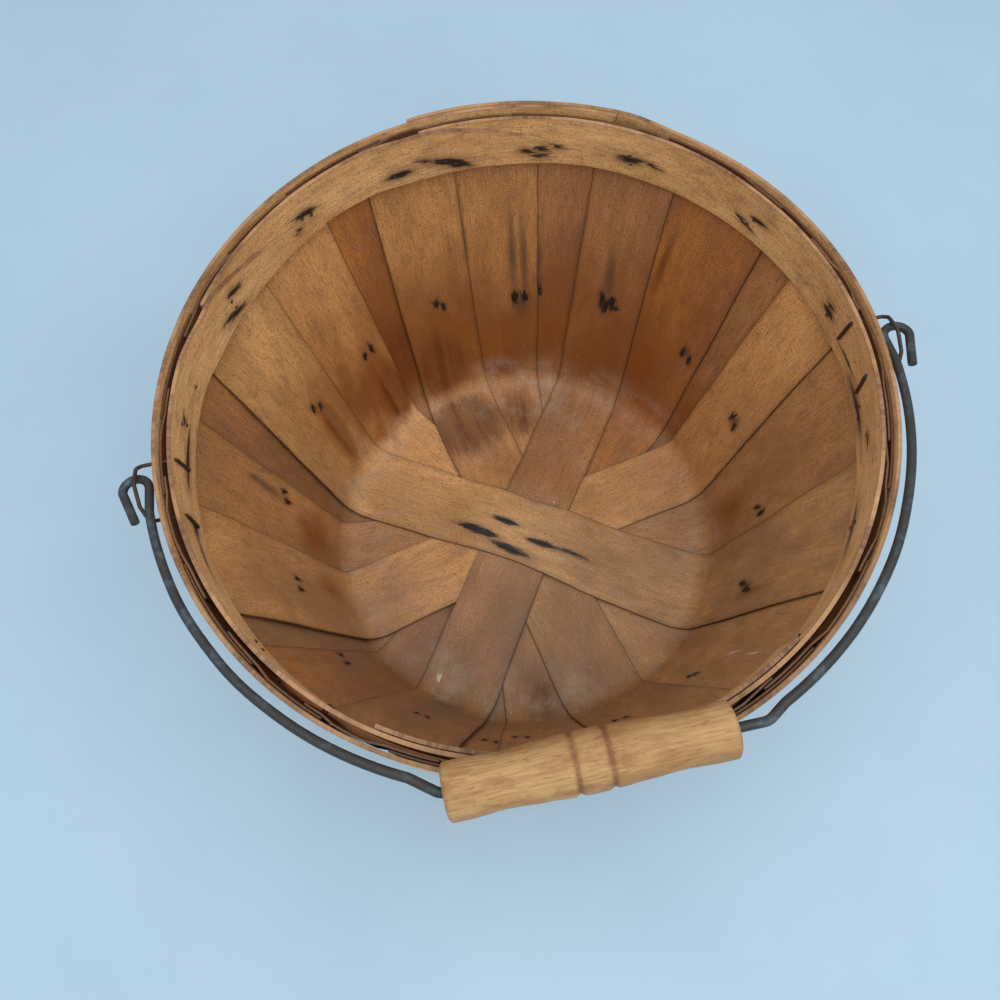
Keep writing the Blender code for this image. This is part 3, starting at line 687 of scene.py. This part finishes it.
def stave_stations(end):
    """Distances from the middle of the floor at which an arm has a row of points, given as runs
    of even steps up to a distance: finest round the corner of the floor and at the end."""
    corner = (FLOOR_END - 3.0 * MM, BEND_END + 3.0 * MM)
    runs = [(SIX_FROM, 5), (corner[0], 16), (corner[1], 12), (WALL_END, 20), (RIM_START, 3),
            (end - 0.4 * MM, 5), (end, 1)]
    marks, low = [], 0.0
    for high, steps in runs:
        marks += [low + (high - low) * i / steps for i in range(1, steps + 1)]
        low = high
    return marks


# Places across a stave and across a hoop at which each has a row of points
SIDES = (-1.0, -0.97, -0.88, -0.72, -0.5, -0.25, 0.0, 0.25, 0.5, 0.72, 0.88, 0.97, 1.0)
HOOP_ROWS = (0.0, 0.02, 0.08, 0.2, 0.35, 0.5, 0.65, 0.8, 0.92, 0.98, 1.0)


def stave_end(order):
    """Distance from the middle of the floor to the end of a stave, under the rim."""
    drop = STAVE_DROP + 0.35 * MM * (order * 5 % 4)
    return RIM_START + (HEIGHT - drop - profile(RIM_START)[1]) / math.sin(RIM_ANGLE)


def covered(level, degrees):
    """How far the staves of one layer, 0 to 1, lie under an angle at the rim."""
    most = 0.0
    for order, ends in enumerate(STAVE_ENDS):
        if order // 4 == level:
            for low, high in ends:
                turn = (degrees - low + 60.0) % 360.0 - 60.0
                past = turn - (high - low)
                most = max(most, ease(turn, -2.5, -0.4) * (1.0 - ease(past, 0.4, 2.5)))
    return most


def on_stave(number, lateral, along, raise_by=0.0):
    """Point on the middle sheet of a stave, or raised that much over it."""
    order = number - 1
    first, second = STAVE_ENDS[order]
    end = stave_end(order)
    mid_first = 0.5 * (first[0] + first[1])
    mid_second = 0.5 * (second[0] + second[1])
    straight = 0.5 * (mid_first + mid_second - 180.0)
    middle, base = (mid_first, straight) if along >= 0.0 else (mid_second, straight + 180.0)
    if along < 0.0:
        lateral = -lateral
    dist = abs(along)
    lift = layer(order, dist) * STAVE_PITCH + 0.5 * STAVE_THICK + raise_by
    lift += 0.45 * MM * (order // 4) * bell(dist, BEND_MIDDLE, 16.0 * MM)
    if dist < STACK_ALL:
        forward = dist / STACK_ALL * math.sqrt(STACK_ALL * STACK_ALL - lateral * lateral)
        return polar(forward, lift, base) + polar(lateral, 0.0, base + 90.0)
    r, z, nr, nz = profile(dist)
    centre = base + (middle - base) * slant(dist, STACK_ALL, end)
    angle = centre + math.degrees(math.asin(lateral / r))
    free = ease(dist, WALL_END - 40.0 * MM, RIM_START)
    if free > 0.0 and order > 3:
        held = sum(covered(level, angle) for level in range(order // 4))
        lift += free * (held - order // 4) * STAVE_PITCH
    return polar(r + nr * lift, z + nz * lift, angle)


def make_stave(number, name):
    """One long veneer stave, up the wall at both ends."""
    order = number - 1
    first, second = STAVE_ENDS[order]
    end = stave_end(order)
    marks = stave_stations(end)
    stations = [-m for m in reversed(marks)] + [0.0] + marks
    top_r = profile(end)[0]
    half_first = top_r * math.sin(math.radians(0.5 * (first[1] - first[0])))
    half_second = top_r * math.sin(math.radians(0.5 * (second[1] - second[0])))

    def place(column, row):
        along = stations[column]
        side = SIDES[row]
        dist = abs(along)
        half_top = half_first if along >= 0.0 else half_second
        half = 0.5 * STAVE_WIDTH + (half_top - 0.5 * STAVE_WIDTH) * dist / end
        fade = ease(dist, 20.0 * MM, 60.0 * MM)
        side_seed = order * 4 + (1 if side > 0 else 0) + (2 if along > 0 else 0)
        half += wander(dist * 30.0, side_seed, 0.5 * MM) * fade
        flat = ease(dist, FLOOR_END, BEND_END) * (1.0 - ease(dist, WALL_END - 10 * MM, RIM_START))
        cupped = 0.22 * MM * (1.0 - side * side) * flat
        edge = 1.0 if abs(side) == 1.0 or dist == end else 0.0
        # Painted seam shade: strongest at the long edges, fading within about half a millimetre
        near = math.exp(-(1.0 - abs(side)) * half / (0.42 * MM))
        lateral = side * half
        return on_stave(number, lateral, along, cupped), (lateral, along), edge, near, 1.0

    obj = strip(name + "_veneer", len(stations) - 1, len(SIDES) - 1, place)
    board(obj, STAVE_THICK, 0.16 * MM)
    return obj


def make_hoop(name, seed, angles, steps, radius_at, bottom, top_at, slope, thin_at=None):
    """Flat strip bent round the basket; thin_at gives how thick it still is, 0 to 1."""

    def place(column, row):
        degrees = angles[0] + (angles[1] - angles[0]) * column / steps
        low = bottom + wander(math.radians(degrees) * 3.0, seed, 0.35 * MM)
        high = top_at(degrees) + wander(math.radians(degrees) * 3.0, seed + 3, 0.45 * MM)
        high += wander(math.radians(degrees) * 25.0, seed + 5, 0.12 * MM)
        part = HOOP_ROWS[row]
        z = low + (high - low) * part
        r = radius_at(degrees) - slope * (HEIGHT - z)
        thick = thin_at(degrees) if thin_at else 1.0
        edge = thick if part in (0.0, 1.0) or column in (0, steps) else 0.0
        # Painted shade along the top and bottom edges, up to 0.4, standing in for the shadow in the
        # slots between strips
        gap = min(part, 1.0 - part) * (high - low)
        grain = (z - bottom, math.radians(degrees) * RIM_RADIUS)
        return polar(r, z, degrees), grain, edge, math.exp(-gap / (0.5 * MM)) * 0.4, thick

    obj = strip(name + "_wood", steps, len(HOOP_ROWS) - 1, place)
    board(obj, HOOP_THICK, 0.3 * MM)
    return obj


def rounded_path(corners, radii, steps):
    """Points along a run of straight lines whose inner corners are rounded."""
    points = [corners[0]]
    for before, corner, after, radius in zip(corners, corners[1:], corners[2:], radii):
        back = (before - corner).normalized()
        ahead = (after - corner).normalized()
        half = 0.5 * back.angle(ahead)
        if radius <= 0.0 or half > math.radians(89.0):
            points.append(corner)
            continue
        reach = radius / math.tan(half)
        centre = corner + (back + ahead).normalized() * (radius / math.sin(half))
        start = corner + back * reach - centre
        stop = corner + ahead * reach - centre
        for i in range(steps + 1):
            arm = start.normalized().slerp(stop.normalized(), i / steps)
            points.append(centre + arm * start.length)
    points.append(corners[-1])
    return points


def bail_half(side):
    """Bail path from the tip of one hook to the grip, as (x, forward) in the bail's plane."""
    hook_x = side * EAR_REACH - BAIL_SHIFT
    turn = HOOK_RADIUS - HOOK_BACK
    points = [(hook_x + side * (HOOK_RADIUS - HOOK_LEAN), HOOK_TIP)]
    for i in range(17):
        angle = math.radians(180.0 * i / 16.0)
        x = hook_x + side * HOOK_RADIUS * math.cos(angle)
        points.append((x, turn - HOOK_RADIUS * math.sin(angle)))
    room = RIGHT_ROOM if side > 0 else LEFT_ROOM
    kink_x = GRIP_SHIFT + side * (0.5 * GRIP_LENGTH + room)
    first = math.asin((EAR_FORWARD + BOW_START) / BAIL_RADIUS)
    last = math.acos((abs(kink_x) + KINK_RUN) / BAIL_RADIUS)
    steps = 40
    for i in range(steps + 1):
        angle = first + (last - first) * i / steps
        forward = (BAIL_RADIUS * math.sin(angle) - EAR_FORWARD) / math.cos(BAIL_TILT)
        lean = BAIL_SHIFT + BOW_LEAN * forward / GRIP_OUT
        lean += wander(forward * 45.0, 60 + side, 0.55 * MM) * bell(i, 0.5 * steps, 0.5 * steps)
        points.append((side * BAIL_RADIUS * math.cos(angle) - lean, forward))
    kink = [Vector((*point, 0.0)) for point in points[-2:]]
    kink += [Vector((kink_x, GRIP_OUT, 0.0)), Vector((GRIP_SHIFT, GRIP_OUT, 0.0))]
    rounded = rounded_path(kink, [2.4 * BAIL_WIRE, 1.75 * BAIL_WIRE], 8)
    return points[:-1] + [(point.x, point.y) for point in rounded[1:-1]]


def make_bail():
    """The wire bail, hooked at both ends, in one length."""
    path = bail_half(1.0) + list(reversed(bail_half(-1.0)))
    points = []
    for x, forward in path:
        y = AXIS_Y - forward * math.cos(BAIL_TILT)
        points.append(Vector((x, y, AXIS_Z + forward * math.sin(BAIL_TILT))))
    bm = bmesh.new()
    tube(bm, points, 0.5 * BAIL_WIRE, 16)
    return finish_wire("bail_wire_round", bm)


def finish_wire(name, bm):
    """Object from tubes, with their faces pointing out and the edges of their ends sharp."""
    bmesh.ops.recalc_face_normals(bm, faces=bm.faces)
    obj = finish_mesh(name, bm)
    obj.data.set_sharp_from_angle(angle=math.radians(50.0))
    return obj


def make_ear(name, side):
    """Ear: two legs through the rim, clinched down inside, and an arched crown outside."""
    face = INNER_HOOP_RADIUS - HOOP_THICK - 0.5 * EAR_WIRE + 0.25 * MM

    def at(x, forward, up):
        return Vector((side * x, AXIS_Y - forward, AXIS_Z + up))

    def leg(forward, z):
        y = AXIS_Y - forward
        r = face - RIM_SLOPE * (HEIGHT - z)
        return Vector((side * math.sqrt(r * r - y * y), y, z))

    reach = EAR_REACH - side * BAIL_SHIFT
    front, back = EAR_LEGS[side]
    corners = [
        leg(front * MM, EAR_LEG_Z),
        leg(EAR_HALF, AXIS_Z - EAR_FRONT_LOW),
        at(reach - 2.6 * EAR_DRAW, EAR_HALF, -EAR_FRONT_LOW),
        at(reach - EAR_DRAW, 0.53 * EAR_HALF, 0.3 * EAR_ARCH),
        at(reach - 0.4 * EAR_DRAW, -0.26 * EAR_HALF, EAR_ARCH),
        at(reach - 0.7 * EAR_DRAW, -0.87 * EAR_HALF, 0.42 * EAR_ARCH),
        at(reach - 1.9 * EAR_DRAW, -EAR_HALF, 0.0),
        leg(-EAR_HALF, AXIS_Z),
        leg(back * MM, EAR_LEG_Z),
    ]
    bends = (1.1, 1.3, 2.0, 4.0, 1.3, 0.8, 1.1)
    path = rounded_path(corners, [bend * EAR_WIRE for bend in bends], 7)
    bm = bmesh.new()
    tube(bm, path, 0.5 * EAR_WIRE, 12)
    return finish_wire(name + "_round", bm)


def grip_outline():
    """Outline of the turned grip, end to end: share of its length and of its radius, groove."""
    swell = [(0.0, 0.935), (0.07, 0.935), (0.2, 0.874), (0.33, 0.935), (0.43, 0.985), (0.503, 1.0),
             (0.577, 0.985), (0.67, 0.935), (0.8, 0.879), (0.93, 0.925), (1.0, 0.925)]
    outline = []
    count = 120
    for i in range(count + 1):
        part = i / count
        for (p0, r0), (p1, r1) in zip(swell, swell[1:]):
            if p0 <= part <= p1:
                radius = r0 + (r1 - r0) * ease(part, p0, p1)
                break
        groove = max(bell(part, spot, GROOVE_REACH) for spot in GROOVES)
        end = min(part, 1.0 - part) * GRIP_LENGTH
        if end < GRIP_EDGE:
            radius -= (GRIP_EDGE - math.sqrt(GRIP_EDGE ** 2 - (GRIP_EDGE - end) ** 2)) / GRIP_RADIUS
        outline.append((part, radius - GROOVE_DEPTH * groove, groove))
    return outline


def make_grip():
    """Turned grip with two grooves and a bead between them, spun about its wire."""
    middle = Vector((GRIP_SHIFT, AXIS_Y - GRIP_OUT * math.cos(BAIL_TILT),
                     AXIS_Z + GRIP_OUT * math.sin(BAIL_TILT)))
    bm = bmesh.new()
    groove = bm.verts.layers.float.new("groove")
    ring = []
    for part, radius, depth in grip_outline():
        spot = Vector((GRIP_LENGTH * (part - 0.5), 0.0, radius * GRIP_RADIUS))
        vert = bm.verts.new(middle + spot)
        vert[groove] = depth
        ring.append(vert)
    for x in (0.5, -0.5):
        vert = bm.verts.new(middle + Vector((x * GRIP_LENGTH, 0.0, GRIP_BORE)))
        vert[groove] = 0.8
        ring.append(vert)
    edges = [bm.edges.new(pair) for pair in zip(ring, ring[1:] + ring[:1])]
    bmesh.ops.spin(bm, geom=ring + edges, cent=middle, axis=(1.0, 0.0, 0.0), angle=TAU, steps=72,
                   use_merge=True)
    bmesh.ops.remove_doubles(bm, verts=bm.verts, dist=0.01 * MM)
    bmesh.ops.recalc_face_normals(bm, faces=bm.faces)
    obj = finish_mesh("grip_turned", bm)
    obj.data.set_sharp_from_angle(angle=math.radians(60.0))
    return obj, middle


def staple(bm, tips, legs_in, legs_out):
    """One staple: from a clinched tip through the wood, across outside and back to the other."""
    corners = [tips[0], legs_in[0], legs_out[0], legs_out[1], legs_in[1], tips[1]]
    path = rounded_path(corners, [STAPLE_BEND] * 4, 3)
    tube(bm, path, 0.5 * STAPLE_WIRE, 8)


def make_mid_staples():
    """Staples through the middle hoop and the staves, clinched inside."""
    bm = bmesh.new()
    hoop_out = FOOT_RADIUS + (GAP + HOOP_THICK) / math.sin(WALL_ANGLE) + 0.25 * STAPLE_WIRE
    for stave, across, along, turn in MID_STAPLES:
        tips, inside, outside = [], [], []
        for side, a, b in staple_legs(across, along, turn):
            foot = on_stave(stave, a * MM, b * MM, CLINCH_FACE)
            tip_along = b - math.copysign(2.6, along)
            tip = on_stave(stave, (a + 0.5 * side) * MM, tip_along * MM, CLINCH_FACE)
            r = hoop_out + WALL_SLOPE * foot.z
            angle = math.degrees(math.atan2(foot.y, foot.x)) % 360.0
            if angle < MID_LAP[1]:
                r += HOOP_STEP * climb(angle, MID_LAP[0])
            flat = Vector((foot.x, foot.y, 0.0)).normalized()
            tips.append(tip)
            inside.append(foot)
            outside.append(Vector((flat.x * r, flat.y * r, foot.z)))
        staple(bm, tips, inside, outside)
    return finish_wire("mid_staples", bm)


# Staples through the rim hoops: degrees, height in mm and turn of the crown
RIM_STAPLES = [
    (56.2, 156.3, 80), (29.9, 156.3, 120), (7.1, 157, 80), (-12.4, 153, 40), (-33, 152.6, 80),
    (74.4, 154.6, 70), (91.5, 153.2, 30), (102.1, 153.9, 10), (122.4, 159.8, 20),
    (144.4, 156.9, 80), (170, 160, 70), (212, 158, 20), (227, 157, 60), (256, 159, 10),
    (279, 157, 40), (304, 158, 0),
]
# Degrees between which two strips of the inner hoop lie on one another
DOUBLE_RUNS = ((LEFT_ANGLES[0], 108.0), (INNER_ANGLES[0], 152.0), FRONT_ANGLES)


def band_face(degrees):
    """Radius of the innermost hoop face at the rim height."""
    double = any(low < degrees % 360.0 < high for low, high in DOUBLE_RUNS)
    return INNER_HOOP_RADIUS - HOOP_THICK - (HOOP_STEP if double else 0.0)


def make_rim_staples():
    """Staples through the rim hoops, clinched on the inner one."""
    bm = bmesh.new()
    for degrees, height, turn in RIM_STAPLES:
        tips, inside, outside = [], [], []
        for side, shift, up in staple_legs(0.0, height, turn):
            z = up * MM
            a = degrees + math.degrees(shift * MM / RIM_RADIUS)
            lean = RIM_SLOPE * (HEIGHT - z)
            inner = band_face(degrees) - lean - 0.3 * STAPLE_WIRE
            outer = RIM_RADIUS - lean + 0.25 * STAPLE_WIRE
            if degrees % 360.0 < OUTER_LAP[1]:
                outer += HOOP_STEP * climb(degrees, OUTER_LAP[0])
            inside.append(polar(inner, z, a))
            tips.append(polar(inner, z - 0.4 * MM * side, a + math.degrees(1.5 * MM / RIM_RADIUS)))
            outside.append(polar(outer, z, a))
        staple(bm, tips, inside, outside)
    return finish_wire("rim_staples", bm)


def crown_marks(hoop, start):
    """Rust marks on the outside of a hoop, at both ends of the crown of each of its staples."""
    spots, low = [], 0.0
    if hoop == "outer_hoop":
        spots, low = RIM_STAPLES, (HEIGHT - HOOP_HEIGHT) / MM
    if hoop == "mid_hoop":
        feet = [(on_stave(stave, a * MM, b * MM), turn) for stave, a, b, turn in MID_STAPLES]
        spots = [(math.degrees(math.atan2(at.y, at.x)), at.z / MM, turn) for at, turn in feet]
        low = (MID_HOOP_Z - 0.5 * MID_HOOP_HEIGHT) / MM
    marks = []
    for degrees, height, turn in spots:
        around = (degrees - start) % 360.0 + start
        for _, shift, up in staple_legs(0.0, height - low, turn):
            marks.append((up, around + math.degrees(shift * MM / RIM_RADIUS), 1.0, 2.8, 0.0, 0.8))
    return marks


def make_floor_staples():
    """Two long staples through the middle of the floor, clinched along the top stave. A leg is
    (place of its tip, place of its foot), in mm on the stave."""
    legs = [((-8.9, -33.0), (-7.5, -15.0)), ((1.7, -16.0), (1.7, -6.0)),
            ((-12.3, -13.0), (-13.0, 2.0)), ((-4.0, 4.0), (-3.7, 17.0))]
    bm = bmesh.new()
    for pair in (legs[:2], legs[2:]):
        tips, inside = [], []
        for tip, foot in pair:
            tips.append(on_stave(12, tip[0] * MM, tip[1] * MM, CLINCH_FACE))
            inside.append(on_stave(12, foot[0] * MM, foot[1] * MM, CLINCH_FACE))
        outside = [Vector((point.x, point.y, 0.55 * STAPLE_WIRE)) for point in inside]
        staple(bm, tips, inside, outside)
    return finish_wire("floor_staples", bm)


def put(obj, body, node, material):
    """Give a finished piece its material and its body, and hide the CAD node it stands for."""
    obj.data.materials.append(material)
    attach(obj, body)
    if node:
        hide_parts(node)


def photo_camera(down, roll, dist, shift_x, shift_y, focal, turn):
    """Camera that looks down into the basket at the photograph's angle: angles in degrees,
    distance and shifts from the middle of the rim, focal length in pixels of 1000."""
    down, roll, turn = math.radians(down), math.radians(roll), math.radians(turn)
    ahead = Vector((0.0, math.cos(down), -math.sin(down)))
    right = Vector((1.0, 0.0, 0.0))
    up = right.cross(ahead)
    across = right * math.cos(roll) + up * math.sin(roll)
    upward = up * math.cos(roll) - right * math.sin(roll)
    eye = -(across * shift_x + upward * shift_y + ahead * dist)
    spin = Matrix.Rotation(turn, 3, "Z")
    cam = bpy.data.cameras.new("photo_camera")
    cam.sensor_width = 36.0
    cam.lens = focal * 36.0 / 1000.0
    obj = add("photo_camera", cam)
    axes = Matrix((spin @ across, spin @ upward, -(spin @ ahead))).transposed()
    obj.matrix_world = Matrix.Translation(spin @ eye + Vector((0, 0, HEIGHT))) @ axes.to_4x4()
    bpy.context.scene.camera = obj


photo_camera(down=69.0, roll=-5.0, dist=0.339, shift_x=0.0081, shift_y=0.0404, focal=900.0,
             turn=-7.2)

# Floor and light
floor_bm = bmesh.new()
bmesh.ops.create_grid(floor_bm, x_segments=1, y_segments=1, size=4.0)
floor = finish_mesh("floor", floor_bm)
ground = Recipe("floor_pale_blue")
spot = ground.place()
cloud = ground.noise(ground.stretch(spot, (5.0, 5.0, 1.0)), 5.0, 0.6)
pale = ground.mix(ground.between(cloud, 0.3, 0.7), paint(169, 197, 217), paint(163, 191, 212))
ground.surface(pale, 0.6, cloud, 0.1 * MM, 0.05)
floor.data.materials.append(ground.material)

world = bpy.data.worlds.new("studio")
bpy.context.scene.world = world
world.use_nodes = True
world.node_tree.nodes["Background"].inputs[0].default_value = (0.95, 0.98, 1.0, 1.0)
world.node_tree.nodes["Background"].inputs[1].default_value = 0.68
bpy.context.scene.view_settings.view_transform = "Standard"

light = bpy.data.lights.new("soft_lamp", "AREA")
light.shape = "DISK"
light.size = 1.9
light.energy = 17.5
light.color = (1.0, 0.98, 0.95)
lamp = add("soft_lamp", light)
lamp.location = (0.12, -0.42, 1.45)
aim = Vector((0.0, 0.0, 0.1)) - lamp.location
lamp.rotation_euler = aim.to_track_quat("-Z", "Y").to_euler()

for number in range(1, len(STAVE_ENDS) + 1):
    name = "stave_%02d" % number
    put(make_stave(number, name), "basket", name, stave_wood(number, name))

# Rim and middle hoops
OUTER_MIDDLE = RIM_RADIUS - 0.5 * HOOP_THICK
INNER_MIDDLE = INNER_HOOP_RADIUS - 0.5 * HOOP_THICK
HOOP_LOW = HEIGHT - HOOP_HEIGHT
INNER_LOW = HOOP_LOW + 0.3 * MM


def thinned(start):
    """How thick, 0 to 1, a strip is that is shaved thin where it starts."""
    return lambda a: 0.1 + 0.9 * ease(a, start, start + 16.0)


def pointed(start, drop, cut, power):
    """Top edge of a strip that is cut slanting to a point where it starts."""
    return lambda a: HEIGHT - drop - cut * (1.0 - slant(a, start, start + POINT_RUN)) ** power


def lying_on(start, under_end):
    """Radius of a thinned strip that lies inside another one up to the other's end."""
    thin_at = thinned(start)
    low = under_end + LAP_CLEAR

    def radius_at(a):
        inward = 1.0 - ease(a, low, low + LAP_RUN)
        return INNER_MIDDLE - HOOP_STEP * inward + 0.8 * MM * (1.0 - thin_at(a)) * inward
    return radius_at


def outer_radius(a):
    return OUTER_MIDDLE + HOOP_STEP * climb(a, 360.0 + OUTER_LAP[0])


def mid_radius(a):
    lift = GAP + 0.5 * HOOP_THICK + HOOP_STEP * climb(a, 360.0 + MID_LAP[0])
    return FOOT_RADIUS + WALL_SLOPE * HEIGHT + lift / math.sin(WALL_ANGLE)


# Name, angles, columns, radius, bottom edge, top edge, slope and, where it changes, thickness
HOOPS = [
    ("outer_hoop", (OUTER_LAP[0], OUTER_LAP[1] + 360.0), 430, outer_radius,
     HOOP_LOW, lambda a: HEIGHT, RIM_SLOPE),
    ("inner_hoop", (INNER_ANGLES[0], INNER_ANGLES[1] + 360.0), 380,
     lying_on(INNER_ANGLES[0], LEFT_ANGLES[1]), INNER_LOW,
     pointed(INNER_ANGLES[0], 0.8 * MM, 18.0 * MM, 0.9), RIM_SLOPE, thinned(INNER_ANGLES[0])),
    ("inner_hoop_left_strip", LEFT_ANGLES, 110, lying_on(LEFT_ANGLES[0], INNER_ANGLES[1]),
     INNER_LOW + 0.6 * MM, pointed(LEFT_ANGLES[0], 0.4 * MM, 16.0 * MM, 1.1), RIM_SLOPE,
     thinned(LEFT_ANGLES[0])),
    ("inner_hoop_front_strip", FRONT_ANGLES, 80, lambda a: INNER_MIDDLE - HOOP_STEP,
     INNER_LOW + 0.3 * MM, lambda a: HEIGHT - 1.2 * MM, RIM_SLOPE),
    ("mid_hoop", (MID_LAP[0], MID_LAP[1] + 360.0), 400, mid_radius,
     MID_HOOP_Z - 0.5 * MID_HOOP_HEIGHT, lambda a: MID_HOOP_Z + 0.5 * MID_HOOP_HEIGHT, WALL_SLOPE),
]
for seed, (name, angles, *shape) in enumerate(HOOPS):
    piece = make_hoop(name, 20 + seed * 7, angles, *shape)
    marks = [(u, math.radians(degrees) * RIM_RADIUS / MM, wide, long, turn, soft)
             for u, degrees, wide, long, turn, soft
             in BAND_MARKS.get(name, []) + crown_marks(name, angles[0])]
    patches = []
    if marks:
        patches = [(RUST_GREY_AND_SHADE, 0.6, halo(marks, 2.8, 1.6)), (RUST_BLACK, 0.95, marks)]
    put(piece, "basket", name, wood(name + "_wood", 30 + seed, HOOP_TONE, patches, CUT_EDGE))

ear_mat = steel("ear_steel", paint(52, 42, 38), paint(92, 80, 72), paint(74, 44, 30), 0.35, 0.1)
bail_mat = steel("bail_steel", paint(56, 66, 72), paint(86, 98, 105), paint(58, 54, 52), 0.45, 0.0)
put(make_ear("ear_right", 1.0), "basket", "ear_right", ear_mat)
put(make_ear("ear_left", -1.0), "basket", "ear_left", ear_mat)
put(make_bail(), "bail", "bail_wire", bail_mat)
grip, grip_middle = make_grip()
put(grip, "grip", "grip", turned_wood("grip_wood", grip_middle))
staple_mat = steel("staple_steel", paint(44, 32, 28), paint(90, 74, 62), paint(60, 34, 24),
                   0.3, 0.1)
for piece in (make_mid_staples(), make_rim_staples(), make_floor_staples()):
    put(piece, "basket", None, staple_mat)
